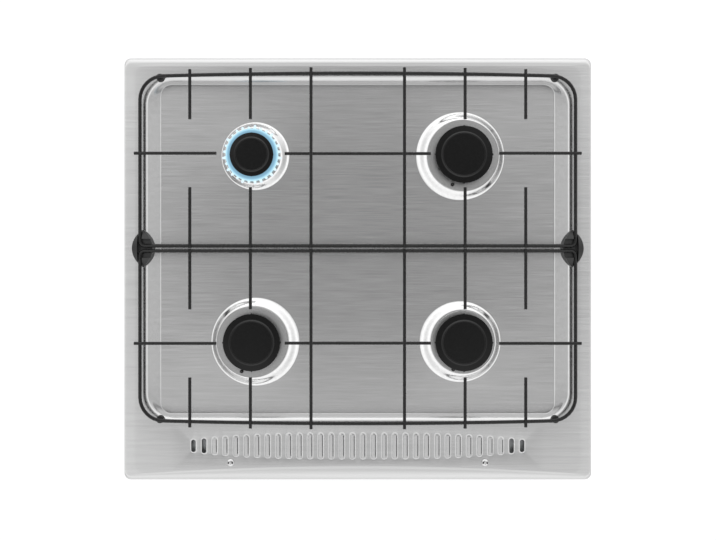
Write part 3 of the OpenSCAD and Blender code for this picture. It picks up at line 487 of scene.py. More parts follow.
def wire_enamel():
    """Black enamel of the pan supports, a little uneven, as it runs before it is fired."""
    material, tree, shader = new_material("wire_enamel", IOR=1.42)
    run = grain(tree, even(320), 2.0)
    tree.links.new(grey(tree, run, 0.003, 0.007), shader.inputs["Base Color"])
    tree.links.new(spread(tree, run, 0.20, 0.34), shader.inputs["Roughness"])
    bump(tree, shader, run, 0.15, 0.08 * MM)
    return material


def moulded_black(name, level, rough, size):
    """Black plastic, rubber or fibre with a fine grain: its level, how rough it is, grains per metre."""
    material, tree, shader = new_material(name, IOR=1.5)
    leather = grain(tree, even(size), 3.0)
    tree.links.new(grey(tree, leather, level * 0.8, level * 1.3), shader.inputs["Base Color"])
    tree.links.new(spread(tree, leather, rough - 0.06, rough + 0.08), shader.inputs["Roughness"])
    bump(tree, shader, leather, 0.2, 0.06 * MM)
    return material


CAP_ENAMEL = black_enamel()
WIRE_ENAMEL = wire_enamel()
BLOCK_BLACK = moulded_black("block_moulding", 0.016, 0.38, 1400)
RUBBER = moulded_black("foot_rubber", 0.020, 0.55, 900)
GASKET = moulded_black("gasket_fibre", 0.030, 0.80, 1600)
print("black finishes:", CAP_ENAMEL.name, WIRE_ENAMEL.name, BLOCK_BLACK.name, RUBBER.name, GASKET.name)

# %% [markdown]
# The burners, pipes, taps and screws are bare metals, and one recipe with a few numbers makes them all.
# Galvanised sheet gets a recipe of its own, because its zinc grows in flat crystals with straight borders.
# Noise has no borders, so Voronoi cells are used there.


# %% Other metals and ceramic
def metal(name, low, high, rough, size, tint=(1.0, 1.0, 1.0), dent=0.1, depth=0.05):
    """A bare metal: its colour, how rough it is, and the size of its grain in grains per metre."""
    material, tree, shader = new_material(name, Metallic=1.0)
    field = grain(tree, even(size), 4.0)
    tree.links.new(grey(tree, field, low, high, tint), shader.inputs["Base Color"])
    tree.links.new(spread(tree, field, rough - 0.06, rough + 0.08), shader.inputs["Roughness"])
    bump(tree, shader, field, dent, depth * MM)
    return material


def galvanised_steel():
    """Hot-dip zinc: flat crystals of different greys, a few millimetres across."""
    material, tree, shader = new_material("galvanised_sheet", Metallic=1.0)
    place = add_node(tree, "ShaderNodeTexCoord")
    cells = add_node(
        tree, "ShaderNodeTexVoronoi", {"Vector": place.outputs["Object"], "Scale": 160.0}
    )
    spangle = add_node(tree, "ShaderNodeRGBToBW", {"Color": cells.outputs["Color"]}).outputs["Val"]
    tree.links.new(grey(tree, spangle, 0.52, 0.66, (0.98, 1.0, 1.02)), shader.inputs["Base Color"])
    tree.links.new(spread(tree, spangle, 0.34, 0.50), shader.inputs["Roughness"])
    return material


def ceramic():
    """Dark brown glaze on the ceramic of the igniters."""
    material, tree, shader = new_material("glazed_ceramic", IOR=1.4)
    glaze = grain(tree, even(500), 2.0)
    tree.links.new(grey(tree, glaze, 0.004, 0.010, (1.0, 0.9, 0.8)), shader.inputs["Base Color"])
    tree.links.new(spread(tree, glaze, 0.15, 0.25), shader.inputs["Roughness"])
    return material


CAST_ALUMINIUM = metal("cast_aluminium", 0.40, 0.52, 0.34, 700, dent=0.25, depth=0.12)
CROWN_ALUMINIUM = metal("turned_aluminium", 0.30, 0.42, 0.36, 500)
DRAWN_ALUMINIUM = metal("drawn_aluminium", 0.70, 0.80, 0.28, 260)
GALVANISED = galvanised_steel()
ZINC = metal("zinc_plate", 0.50, 0.60, 0.30, 600)
BRIGHT = metal("nickel_plate", 0.66, 0.74, 0.14, 420)
BRASS = metal("brass", 0.70, 0.86, 0.26, 340, (1.0, 0.76, 0.42))
TUBE = metal("steel_tube", 0.42, 0.54, 0.36, 420)
PIN = metal("spark_steel", 0.06, 0.10, 0.32, 800)
CERAMIC = ceramic()
print(len(bpy.data.materials), "materials so far")

# %% [markdown]
# The pressed top. On the real hob one sheet of steel is pressed in a few strokes: the well, four cones, the
# row of vents, and an edge that rolls over all round. A soft cage under a subdivision surface could do it,
# but the reflections need exact edges, so it is lofted instead: rounded rectangles are laid at every
# height of the section, and each is bridged to the next. The flat parts are filled round their holes.

# %% Sizes of the pressed top, in millimetres
top_low, top_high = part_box("hob_top")
TOP_W = (top_high.x - top_low.x) / MM
FRONT_Y = top_low.y / MM
REAR_Y = top_high.y / MM
SKIRT_Z = top_low.z / MM
CONE_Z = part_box("cup_gaskets")[0].z / MM
SCREW_HEAD_R = 4.8
SCREW_HEAD_H = 2.4
RIM_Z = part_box("panel_screws")[1].z / MM - SCREW_HEAD_H
SHEET = 1.0
ROLL_DROP = 6.0
SIDE_ROLL = 2.0
END_ROLL = 6.0
REAR_ROLL = 8.0
LIP_W = 15.0
CORNER_R = 8.0
RIM_FALL = 0.35
print("top", TOP_W, "wide, rim at", round(RIM_Z, 2), "cones at", round(CONE_Z, 2))

# %% Sizes of the well, in millimetres
SIDE_BORDER = 28
REAR_BORDER = 22
FRONT_BORDER = 74.5
WELL_HALF_W = TOP_W / 2 - SIDE_BORDER
WELL_REAR = REAR_Y - REAR_BORDER
WELL_FRONT = FRONT_Y + FRONT_BORDER
WELL_DROP = 12.0
FLOOR_Z = RIM_Z - WELL_DROP
WELL_TOP_R = 36.0
WELL_FLOOR_R = 13.0
SIDE_WALL = 18.0
REAR_WALL = 10.6
FRONT_WALL = 9.6
SIDE_ARCS = (4.0, 2.0)
REAR_ARCS = (9.6, 0.4)
FRONT_ARCS = (7.4, 0.5)
print("well", 2 * WELL_HALF_W, "by", WELL_REAR - WELL_FRONT, "and", WELL_DROP, "deep")

# %% One ring of edges
CORNER_CUTS = 10
SIDE_CUTS = 15
SAME_LINE = 0.01


def ring(left, right, front, rear, radius, z, number, bow=0.0):
    """A rounded rectangle of bare edges. Its front side bows inwards by bow at the middle."""
    deselect()
    bpy.ops.mesh.primitive_plane_add(size=1)
    item = bpy.context.object
    item.location = ((left + right) / 2 * MM, (front + rear) / 2 * MM, z * MM)
    item.scale = ((right - left) * MM, (rear - front) * MM, 1)
    freeze(item)
    edit(item)
    bpy.ops.mesh.select_all(action="SELECT")
    bpy.ops.mesh.bevel(
        affect="VERTICES", offset=radius * MM, segments=CORNER_CUTS, profile=0.5, clamp_overlap=False
    )
    bpy.ops.mesh.delete(type="ONLY_FACE")
    shape = bmesh.from_edit_mesh(item.data)
    long_edges = sorted(shape.edges, key=lambda part: -part.calc_length())[:4]
    for part in shape.edges:
        part.select_set(part in long_edges)
    bmesh.update_edit_mesh(item.data)
    bpy.ops.mesh.subdivide(number_cuts=SIDE_CUTS)
    shape = bmesh.from_edit_mesh(item.data)
    half = (right - left) / 2 * MM - radius * MM
    for point in shape.verts:
        if bow and abs(point.co.y - front * MM) < SAME_LINE * MM:
            point.co.y += bow * MM * (1 - min(1, abs(point.co.x) / half) ** 2)
    tag = shape.verts.layers.int.new("ring")
    for point in shape.verts:
        point[tag] = number
    bmesh.update_edit_mesh(item.data)
    leave_edit()
    return item


# %% Bridge between rings
LOOP_STEP = 0.02


def bridge(item, first, last):
    """Bridges each numbered ring to the next. Two rings must not lie in one plane round one middle,
    because the bridge can't tell there which way round they run, so flat steps fall by LOOP_STEP."""
    edit(item)
    for number in range(first, last):
        tag = bmesh.from_edit_mesh(item.data).verts.layers.int["ring"]
        select_points(item, lambda point: point[tag] in (number, number + 1))
        bpy.ops.mesh.bridge_edge_loops()
    leave_edit()


# %% [markdown]
# Seen from the side, the wall of the well is a wide arc at the rim, a straight slope, and a narrow arc at
# the floor. A bevel could round both ends, but steel shows every step of it. Here the width and the depth
# are known and the slope isn't, so the slope is found by halving, and the section gets its closest steps
# at the two ends.

# %% Section of the well's wall
WALL_STEPS = 22
HALVINGS = 50
SLOPES = (0.2, 1.5)


def wall_section(width, drop, top_r, foot_r):
    """How far the wall has moved inwards at eased drops: an arc, a straight slope and an arc."""
    both = top_r + foot_r

    def reach(angle):
        straight = (drop - both * (1 - math.cos(angle))) / math.sin(angle)
        return both * math.sin(angle) + straight * math.cos(angle)

    low, high = SLOPES
    for _ in range(HALVINGS):
        middle = (low + high) / 2
        low, high = (middle, high) if reach(middle) > width else (low, middle)
    slope = (low + high) / 2
    section = []
    for step in range(WALL_STEPS + 1):
        down = drop * (1 - math.cos(math.pi * step / WALL_STEPS)) / 2
        top_end = top_r * (1 - math.cos(slope))
        foot_end = drop - foot_r * (1 - math.cos(slope))
        if down <= top_end:
            across = math.sqrt(top_r**2 - (top_r - down) ** 2)
        elif down >= foot_end:
            across = width - math.sqrt(foot_r**2 - (foot_r - (drop - down)) ** 2)
        else:
            across = top_r * math.sin(slope) + (down - top_end) / math.tan(slope)
        section.append((across, down))
    return section, math.degrees(slope)


side_wall, side_angle = wall_section(SIDE_WALL, WELL_DROP, *SIDE_ARCS)
rear_wall, rear_angle = wall_section(REAR_WALL, WELL_DROP, *REAR_ARCS)
front_wall, front_angle = wall_section(FRONT_WALL, WELL_DROP, *FRONT_ARCS)
print("wall slopes", round(side_angle, 1), round(rear_angle, 1), round(front_angle, 1), "degrees")

# %% [markdown]
# The edge of the sheet rolls over from the rim to the skirt, with a smaller radius at the sides than at the
# front and the rear. At the front the roll widens to a lip in the middle, which is why its rings bow
# inwards. The land between the roll and the well falls a little, so it catches the light by itself.

# %% Rings of the skirt, the rolled edge and the rim
ROLL_STEPS = 9
SUPPORT = 0.5
LIP_BOW = LIP_W - END_ROLL
LIP_RISE = 0.03
SIDE_LAND = 14.5
REAR_LAND = 11.0
FRONT_LAND = END_ROLL + 3
LAND_R = CORNER_R + 4
rings = []


def outline(side_in, front_in, rear_in, radius, z, bow=0.0):
    """One ring, measured inwards from the outer edges of the top."""
    left, right = side_in - TOP_W / 2, TOP_W / 2 - side_in
    rings.append(ring(left, right, FRONT_Y + front_in, REAR_Y - rear_in, radius, z, len(rings), bow))


outline(0, 0, 0, CORNER_R, SKIRT_Z)
outline(0, 0, 0, CORNER_R, RIM_Z - ROLL_DROP - SUPPORT)
for step in range(ROLL_STEPS + 1):
    angle = math.pi / 2 * step / ROLL_STEPS
    inward = 1 - math.cos(angle)
    outline(
        SIDE_ROLL * inward,
        END_ROLL * inward,
        REAR_ROLL * inward,
        CORNER_R - SIDE_ROLL * inward / 2,
        RIM_Z - RIM_FALL - (ROLL_DROP - RIM_FALL) * (1 - math.sin(angle)),
        LIP_BOW * inward,
    )
outline(
    SIDE_ROLL + SUPPORT,
    END_ROLL + SUPPORT,
    REAR_ROLL + SUPPORT,
    CORNER_R - SIDE_ROLL / 2,
    RIM_Z - RIM_FALL + LIP_RISE,
    LIP_BOW,
)
outline(SIDE_LAND, FRONT_LAND, REAR_LAND, LAND_R, RIM_Z - LOOP_STEP, LIP_BOW)
outline(SIDE_LAND + SUPPORT, FRONT_LAND + SUPPORT, REAR_LAND + SUPPORT, LAND_R, RIM_Z, LIP_BOW)
outer_last = len(rings) - 1
print(len(rings), "rings outside the well")

# %% Rings of the well
well_first = len(rings)


def well_outline(side_in, front_in, rear_in, radius, z):
    """One ring, measured inwards from the upper edge of the well."""
    left, right = side_in - WELL_HALF_W, WELL_HALF_W - side_in
    rings.append(ring(left, right, WELL_FRONT + front_in, WELL_REAR - rear_in, radius, z, len(rings)))


well_outline(-SUPPORT, -SUPPORT, -SUPPORT, WELL_TOP_R, RIM_Z)
for (side_in, down), (front_in, _), (rear_in, _) in zip(side_wall, front_wall, rear_wall):
    radius = WELL_TOP_R + (WELL_FLOOR_R - WELL_TOP_R) * down / WELL_DROP
    well_outline(side_in, front_in, rear_in, radius, RIM_Z - down)
well_outline(SIDE_WALL + SUPPORT, FRONT_WALL + SUPPORT, REAR_WALL + SUPPORT, WELL_FLOOR_R, FLOOR_Z)
well_last = len(rings) - 1
pressed_top = join(rings, "pressed_top")
bridge(pressed_top, 0, outer_last)
bridge(pressed_top, well_first, well_last)
print("lofted", well_last + 1, "rings,", len(pressed_top.data.polygons), "faces")

# %% [markdown]
# The cones. Each burner stands on a low cone. Its foot is not centred under the burner: it lies a little
# nearer to the middle of the hob, so the slope is wider on that side. A stack of circles, each a little
# further across than the last, makes such a skew cone, and the same bridge joins them.

# %% Sizes of the cones, in millimetres
CONE_SKEW = 3.1
CONE_SEGMENTS = 96
CONE_STEPS = 12
CONE_EASE = 0.12
CONE_OUT = {"rl": 15.3, "rr": 19.6, "fl": 19.6, "fr": 15.0}
CONE_SLOPE = {"rl": 7.2, "rr": 9.8, "fl": 9.8, "fr": 9.8}
CONE_FOOT = ((1.0, 0.0), (0.6, LOOP_STEP), (0.3, 0.12))
FIRST_LIFT = 0.2
LAST_DROP = 0.1
CONE_LAND = 0.6
HOLE_IN = 4.5
CONE_RISE = CONE_Z - FLOOR_Z
print("cones rise", round(CONE_RISE, 2), "mm")


# %% Cone round each burner
def burner_facts(name):
    """Middle and cap radius of a burner, in millimetres, measured on the frame."""
    low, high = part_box("burner_cap_" + name)
    return (low.x + high.x) / 2 / MM, (low.y + high.y) / 2 / MM, (high.x - low.x) / 2 / MM


def crown_radius(name):
    low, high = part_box("burner_crown_" + name)
    return (high.x - low.x) / 2 / MM


def circle(x, y, radius, z, number, segments):
    """A circle of bare edges whose points carry the number of their ring."""
    deselect()
    bpy.ops.mesh.primitive_circle_add(
        vertices=segments, radius=radius * MM, location=(x * MM, y * MM, z * MM)
    )
    item = bpy.context.object
    freeze(item)
    marks = item.data.attributes.new("ring", "INT", "POINT")
    marks.data.foreach_set("value", [number] * len(item.data.vertices))
    return item


def eased_rise(share):
    """Share of the rise at a share of the slope: gentle at the foot and at the top."""
    return (1 - math.cos(math.pi * (CONE_EASE + (1 - 2 * CONE_EASE) * share))) / 2


def burner_cone(name):
    x, y, cap_r = burner_facts(name)
    side = -1 if x > 0 else 1
    foot_r = cap_r + CONE_OUT[name]
    top_r = foot_r - CONE_SLOPE[name]
    low, high = eased_rise(0), eased_rise(1)
    stack = [(foot_r + out, 1.0, lift) for out, lift in CONE_FOOT]
    for step in range(CONE_STEPS + 1):
        share = step / CONE_STEPS
        up = (eased_rise(share) - low) / (high - low)
        lift = FIRST_LIFT + (CONE_RISE - FIRST_LIFT - LAST_DROP) * up
        stack.append((foot_r + (top_r - foot_r) * share, 1 - share, lift))
    stack.append((top_r - CONE_LAND, 0.0, CONE_RISE - 2 * LOOP_STEP))
    stack.append((top_r - 2 * CONE_LAND, 0.0, CONE_RISE - LOOP_STEP))
    stack.append((crown_radius(name) - HOLE_IN, 0.0, CONE_RISE))
    return [
        circle(x + side * CONE_SKEW * skew, y, radius, FLOOR_Z + lift, number, CONE_SEGMENTS)
        for number, (radius, skew, lift) in enumerate(stack)
    ]


cones = []
for name in BURNERS:
    circles = burner_cone(name)
    count = len(circles)
    cone = join(circles, "cone_" + name)
    bridge(cone, 0, count - 1)
    cones.append(cone)
print(len(cones), "cones of", count, "circles each")

# %% [markdown]
# The vents. Thirty-two louvres are pressed into the front strip, short at the ends and long in the middle.
# Each is a shallow channel with a rounded edge. The two outer ones at each end are pierced right through,
# and the others keep a tongue of sheet as their floor, with a slit for the air along its right side.
# One slot is a circle whose two halves are pulled apart, and smaller copies below it make the rounded edge.
# The tongue is a face that is filled in, cut along and across, opened between the cuts, and tilted.

# %% Sizes of the vents, in millimetres
VENT_COUNT = 32
VENT_PITCH = 13.6
VENT_W = 5.2
VENT_LONG = 32.5
VENT_SHORT = 15.6
VENT_MARGIN = 12.75
VENT_Y = FRONT_Y + LIP_W + VENT_MARGIN + VENT_LONG / 2
VENT_ROUND = 2.0
VENT_FRINGE = 0.2
VENT_BEND = math.radians(58)
VENT_STEPS = 5
VENT_SEGMENTS = 24
VENT_PIERCED = 2
SLIT_RIGHT = 2.45
SLIT_W = 0.75
TONGUE_TILT = math.radians(1.8)
TONGUE_TOP = RIM_Z - VENT_ROUND * (1 - math.cos(VENT_BEND)) - LOOP_STEP / 2


def vent_length(index):
    share = abs(2 * index / (VENT_COUNT - 1) - 1)
    return VENT_LONG - (VENT_LONG - VENT_SHORT) * share**3


print("vents", VENT_SHORT, "to", round(vent_length(VENT_COUNT // 2), 1), "long")


# %% Tongue of a louvre
def choose_faces(item, wanted):
    """In edit mode, selects only the faces for which wanted(face) is true."""
    bpy.ops.mesh.select_all(action="DESELECT")
    shape = bmesh.from_edit_mesh(item.data)
    for face in shape.faces:
        if wanted(face):
            face.select_set(True)
    bmesh.update_edit_mesh(item.data)


def tongue(slot, last, pull):
    """Closes the bottom of a slot, opens a slit along its right side and tilts what is left."""
    edit(slot)
    tag = bmesh.from_edit_mesh(slot.data).verts.layers.int["ring"]
    select_points(slot, lambda point: point[tag] == last)
    bpy.ops.mesh.edge_face_add()
    for place, normal in (
        ((SLIT_RIGHT - SLIT_W, 0), (1, 0)),
        ((SLIT_RIGHT, 0), (1, 0)),
        ((0, pull), (0, 1)),
        ((0, -pull), (0, 1)),
    ):
        choose_faces(slot, lambda face: face.calc_center_median().z < TONGUE_TOP * MM)
        bpy.ops.mesh.bisect(plane_co=(place[0] * MM, place[1] * MM, RIM_Z * MM), plane_no=(*normal, 0))

    def in_slit(face):
        middle = face.calc_center_median() / MM
        across = SLIT_RIGHT - SLIT_W < middle.x < SLIT_RIGHT
        return across and abs(middle.y) < pull and middle.z < TONGUE_TOP

    choose_faces(slot, in_slit)
    bpy.ops.mesh.delete(type="FACE")
    select_points(slot, lambda point: point.co.z < TONGUE_TOP * MM)
    hinge = (0, 0, TONGUE_TOP * MM)
    bpy.ops.transform.rotate(value=-TONGUE_TILT, orient_axis="X", center_override=hinge)
    leave_edit()


# %% Vent slots
def slot_loop(radius, z, number, pull):
    """A circle whose two halves are pulled apart along Y."""
    loop = circle(0, 0, radius, z, number, VENT_SEGMENTS)
    edit(loop)
    bpy.ops.mesh.select_all(action="SELECT")
    half_segment = math.pi / VENT_SEGMENTS
    bpy.ops.transform.rotate(value=half_segment, orient_axis="Z", center_override=(0, 0, 0))
    for side in (-1, 1):
        select_points(loop, lambda point: point.co.y * side > 0)
        bpy.ops.transform.translate(value=(0, side * pull * MM, 0))
    leave_edit()
    return loop


def vent(index):
    x = (index - (VENT_COUNT - 1) / 2) * VENT_PITCH
    pull = (vent_length(index) - VENT_W) / 2
    pierced = index < VENT_PIERCED or index >= VENT_COUNT - VENT_PIERCED
    bend = math.pi / 2 if pierced else VENT_BEND
    edge_r = VENT_W / 2 + VENT_ROUND * math.sin(VENT_BEND)
    stack = [(edge_r + VENT_FRINGE, 0.0)]
    for step in range(VENT_STEPS + 1):
        angle = bend * step / VENT_STEPS
        down = LOOP_STEP + VENT_ROUND * (1 - math.cos(angle))
        stack.append((edge_r - VENT_ROUND * math.sin(angle), down))
    loops = [slot_loop(radius, RIM_Z - down, number, pull) for number, (radius, down) in enumerate(stack)]
    slot = join(loops, "vent")
    bridge(slot, 0, len(stack) - 1)
    if not pierced:
        tongue(slot, len(stack) - 1, pull)
    slot.location = (x * MM, VENT_Y * MM, 0)
    freeze(slot)
    return slot


vents = [vent(index) for index in range(VENT_COUNT)]
print(len(vents), "vents")

# %% [markdown]
# Now the loose parts become one sheet. The flat areas between the rim, the well, the cones and the vents
# are filled by one operator that finds its way round every open loop. A grid of faces would be tidier, but
# a flat area looks the same with any faces. A Solidify modifier then gives the sheet its thickness.

# %% Join the top, fill its flat parts and give the sheet its thickness
SCREW_HOLE_R = 2.2
HOLE_SEGMENTS = 24
SAME_LEVEL = 0.002
screw_low, screw_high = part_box("panel_screws")
SCREW_X = (screw_high.x - SCREW_HEAD_R * MM) / MM
SCREW_Y = (screw_low.y + screw_high.y) / 2 / MM
holes = [circle(side * SCREW_X, SCREW_Y, SCREW_HOLE_R, RIM_Z, 0, HOLE_SEGMENTS) for side in (-1, 1)]
pressed_top = join([pressed_top, *cones, *vents, *holes], "pressed_top")


def fill_flat(item, z):
    """Fills the flat area between all open loops at one height."""
    edit(item)
    bpy.ops.mesh.select_mode(type="EDGE")
    shape = bmesh.from_edit_mesh(item.data)
    for part in shape.edges:
        level = all(abs(point.co.z - z * MM) < SAME_LEVEL * MM for point in part.verts)
        part.select_set(level and len(part.link_faces) < 2)
    bmesh.update_edit_mesh(item.data)
    bpy.ops.mesh.fill(use_beauty=True)
    leave_edit()


fill_flat(pressed_top, RIM_Z)
fill_flat(pressed_top, FLOOR_Z)
edit(pressed_top)
bpy.ops.mesh.select_all(action="SELECT")
bpy.ops.mesh.normals_make_consistent(inside=False)
leave_edit()
largest = max(pressed_top.data.polygons, key=lambda face: face.area)
if largest.normal.z < 0:
    pressed_top.data.flip_normals()
add_modifier(pressed_top, "SOLIDIFY", thickness=SHEET * MM, offset=-1.0)
smooth(pressed_top, 40)
print("pressed top:", len(pressed_top.data.polygons), "faces")

# %% [markdown]
# The cones are pressed from the same sheet and then polished. As a piece of their own they would leave a
# seam, so they stay in the sheet: their faces are found by their place and get a second material.


# %% Polish the cones and put the top in its place
def polish_cones(item):
    """Faces of the cones, found by their height and their distance from the foot's middle."""
    paint(item, STEEL)
    item.data.materials.append(POLISHED)
    for name in BURNERS:
        x, y, cap_r = burner_facts(name)
        side = -1 if x > 0 else 1
        reach = (cap_r + CONE_OUT[name] + CONE_FOOT[0][0]) * MM
        for face in item.data.polygons:
            dx = face.center.x - (x + side * CONE_SKEW) * MM
            dy = face.center.y - y * MM
            if face.center.z > FLOOR_Z * MM and math.hypot(dx, dy) < reach:
                face.material_index = 1


finish_piece(pressed_top, None, "brushed_steel", "hob_top")
polish_cones(pressed_top)

# %% [markdown]
# Turned pieces. Caps and screws are round, so each is a stack of circles that is bridged from one to the
# next, as a lathe would leave it, and closed at both ends. The cap is enamelled steel: a flat border, a thin
# raised ring that catches the light, a flat middle, four small nubs at its edge, and a ring below that
# keeps it centred on the crown.


# %% Turned pieces
MERGE_GAP = 0.00001


def outward(item):
    """Merges doubled points and turns every face outwards."""
    edit(item)
    bpy.ops.mesh.select_all(action="SELECT")
    bpy.ops.mesh.remove_doubles(threshold=MERGE_GAP)
    bpy.ops.mesh.normals_make_consistent(inside=False)
    leave_edit()


def turned(name, x, y, section, segments):
    """A solid of revolution through points of (radius, height), in millimetres."""
    circles = [circle(x, y, radius, z, number, segments) for number, (radius, z) in enumerate(section)]
    item = join(circles, name)
    bridge(item, 0, len(section) - 1)
    edit(item)
    for number in (0, len(section) - 1):
        tag = bmesh.from_edit_mesh(item.data).verts.layers.int["ring"]
        select_points(item, lambda point: point[tag] == number)
        bpy.ops.mesh.edge_face_add()
    leave_edit()
    outward(item)
    return item


# %% Sizes of the burner caps, with pairs of (further out, below the top)
CROWN_WALL = 7.3
CAP_RING_T = 1.6
CAP_RING_DROP = 2.0
CAP_EDGE = 0.5
CAP_SHOULDER = ((0.0, 1.6), (-0.3, 1.25))
RIDGE_SHARE = 0.76
RIDGE = ((1.5, 1.0), (0.1, 0.2), (-0.2, 0.0), (-0.5, LOOP_STEP), (-0.9, 0.6), (-1.2, 0.7))
MIDDLE_SHARE = 0.4
NUB = (2.4, 1.9, 1.1)
NUB_BEVEL = 0.35
NUB_DROP = 2.3
NUB_OUT = {"rl": 0.3, "rr": 1.0, "fl": 1.0, "fr": 1.0}


def cap_section(cap_r, crown_r, low, high):
    """Half section of a cap, from the middle of its underside round to the middle of its top."""
    ring_r = crown_r - CROWN_WALL
    inner_r = ring_r - CAP_RING_T
    ridge_r = RIDGE_SHARE * cap_r
    under = low + CAP_RING_DROP
    section = [(inner_r, under), (inner_r, low + LOOP_STEP), (ring_r, low), (ring_r, under - LOOP_STEP)]
    section += [(cap_r - CAP_EDGE, under), (cap_r, under + CAP_EDGE)]
    section += [(cap_r + out, high - down) for out, down in CAP_SHOULDER]
    section += [(ridge_r + out, high - down) for out, down in RIDGE]
    section.append((ridge_r * MIDDLE_SHARE, high - RIDGE[-1][1] - LOOP_STEP))
    return section


# %% Burner caps
def nub(x, y, z, quarter, reach):
    """One small block at the edge of a cap, with its corners bevelled."""
    deselect()
    bpy.ops.mesh.primitive_cube_add(size=1)
    item = bpy.context.object
    item.scale = [side * MM for side in NUB]
    freeze(item)
    add_modifier(item, "BEVEL", width=NUB_BEVEL * MM, segments=2)
    angle = quarter * math.pi / 2
    item.rotation_euler = (0, 0, angle)
    item.location = ((x + reach * math.cos(angle)) * MM, (y + reach * math.sin(angle)) * MM, z * MM)
    freeze(item)
    return item


for name in BURNERS:
    x, y, cap_r = burner_facts(name)
    low, high = (corner.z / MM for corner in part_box("burner_cap_" + name))
    section = cap_section(cap_r, crown_radius(name), low, high)
    cap = turned("enamelled_cap_" + name, x, y, section, CONE_SEGMENTS)
    reach = cap_r - NUB[0] / 2 + NUB_OUT[name]
    nubs = [nub(x, y, high - NUB_DROP, quarter, reach) for quarter in range(4)]
    cap = join([cap, *nubs], cap.name)
    smooth(cap, 12)
    finish_piece(cap, CAP_ENAMEL, "black_enamel", "burner_cap_" + name)

# %% [markdown]
# The two screws in the front strip have pan heads with a cross recess. The head is turned, and three small
# # blocks are subtracted from it by Boolean modifiers, which is how a punch would leave the cross. The marks
# # in the outer recesses are painted shade: their faces get a dark steel finish, because little light
# reaches them.

# %% Front screws
SHANK_R = 2.0
SHANK_L = 12.0
SCREW_HEAD = (
    (SHANK_R, -SHANK_L),
    (SHANK_R, LOOP_STEP),
    (SCREW_HEAD_R, 0.0),
    (SCREW_HEAD_R, 0.9),
    (4.5, 1.4),
    (3.9, 1.9),
    (2.0, SCREW_HEAD_H),
)
SCREW_SEGMENTS = 40
RECESSES = ((-2.55, 1.9, 3.0), (2.55, 1.9, 3.0), (0.0, 1.4, 4.4))
RECESS_DEPTH = 1.4
PAINTED_SHADE_HEIGHTS = (0.5, 1.8)
PAINTED_SHADE_AWAY = 1.5
PAINTED_SHADE_REACH = 3.6


def front_screw(side):
    x = side * SCREW_X
    section = [(radius, RIM_Z + height) for radius, height in SCREW_HEAD]
    item = turned("front_screw", x, SCREW_Y, section, SCREW_SEGMENTS)
    for aside, width, length in RECESSES:
        deselect()
        place = ((x + aside) * MM, SCREW_Y * MM, (RIM_Z + SCREW_HEAD_H) * MM)
        bpy.ops.mesh.primitive_cube_add(size=1, location=place)
        cutter = bpy.context.object
        cutter.scale = (width * MM, length * MM, 2 * RECESS_DEPTH * MM)
        freeze(cutter)
        add_modifier(item, "BOOLEAN", operation="DIFFERENCE", object=cutter, solver="EXACT")
        bpy.data.objects.remove(cutter)
    return item


def is_painted_shade(face):
    """Whether a face lies in the two outer recesses of a screw head, where shade is painted dark."""
    middle = face.center / MM
    away = abs(abs(middle.x) - SCREW_X)
    level = RIM_Z + PAINTED_SHADE_HEIGHTS[0] < middle.z < RIM_Z + PAINTED_SHADE_HEIGHTS[1]
    return level and away > PAINTED_SHADE_AWAY and math.hypot(away, middle.y - SCREW_Y) < PAINTED_SHADE_REACH


front_screws = join([front_screw(side) for side in (-1, 1)], "front_screws")
smooth(front_screws, 30)
finish_piece(front_screws, BRIGHT, "bright_screws", "panel_screws")
# Painted shade: the faces in the outer recesses get the dark spark_steel finish.
front_screws.data.materials.append(PIN)
for face in front_screws.data.polygons:
    if is_painted_shade(face):
        face.material_index = 1

# %% [markdown]
# The flames. The small burner is lit: gas leaves the slots of the crown, burns as one pale blue band below
# the edge of the cap, and ends in twenty-eight small tongues with nearly white tips. The band is a flat
# ring and each tongue is a sphere drawn out to a drop. A volume could glow too, but an exported mesh can't
# hold one. So the surfaces glow by themselves and let a little of the metal below show through, and their
# colour runs from the middle of the burner outwards.

# %% Flame finish
FLAME_IN = 26.0
FLAME_OUT = 38.0
FLAME_ALPHA = 0.9
FLAME_COLOURS = (
    (0.1, (0.20, 0.38, 0.50)),
    (0.38, (0.26, 0.46, 0.60)),
    (0.56, (0.50, 0.82, 0.96)),
    (0.68, (0.80, 0.97, 1.0)),
    (0.95, (0.80, 0.92, 1.0)),
)


def flame_gas(x, y):
    """Glow that grows paler away from the middle of the burner."""
    material, tree, shader = new_material("flame_gas", Roughness=0.6, IOR=1.0, Alpha=FLAME_ALPHA)
    shader.inputs["Base Color"].default_value = (0.02, 0.05, 0.08, 1)
    shader.inputs["Emission Strength"].default_value = 1.0
    place = add_node(tree, "ShaderNodeTexCoord")
    centred = add_node(
        tree,
        "ShaderNodeMapping",
        {"Vector": place.outputs["Object"], "Location": (-x * MM, -y * MM, 0), "Scale": (1, 1, 0)},
    )
    away = add_node(tree, "ShaderNodeVectorMath", {0: centred.outputs["Vector"]}, operation="LENGTH")
    share = spread(tree, away.outputs["Value"], 0.0, 1.0, FLAME_IN * MM, FLAME_OUT * MM)
    tree.links.new(ramp(tree, share, FLAME_COLOURS), shader.inputs["Emission Color"])
    return material


lit_x, lit_y, _ = burner_facts("rl")
FLAME_GAS = flame_gas(lit_x, lit_y)
print("flame finish:", FLAME_GAS.name)

# %% Ring of flames on the small burner
FLAME_COUNT = 28
FLAME_DROP = 1.5
FLAME_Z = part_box("burner_crown_rl")[1].z / MM - FLAME_DROP
FLAME_TONGUE = (4.7, 1.95, 2.0)
FLAME_MIDDLE = 32.7
FLAME_SWELL = ((0.5, 1.08), (0.8, 1.12))
FLAME_SWING = 0.12
FLAME_RHYTHM = 2.4
BAND_R = 30.3
BAND_T = 3.4
BAND_FLATTEN = 0.5


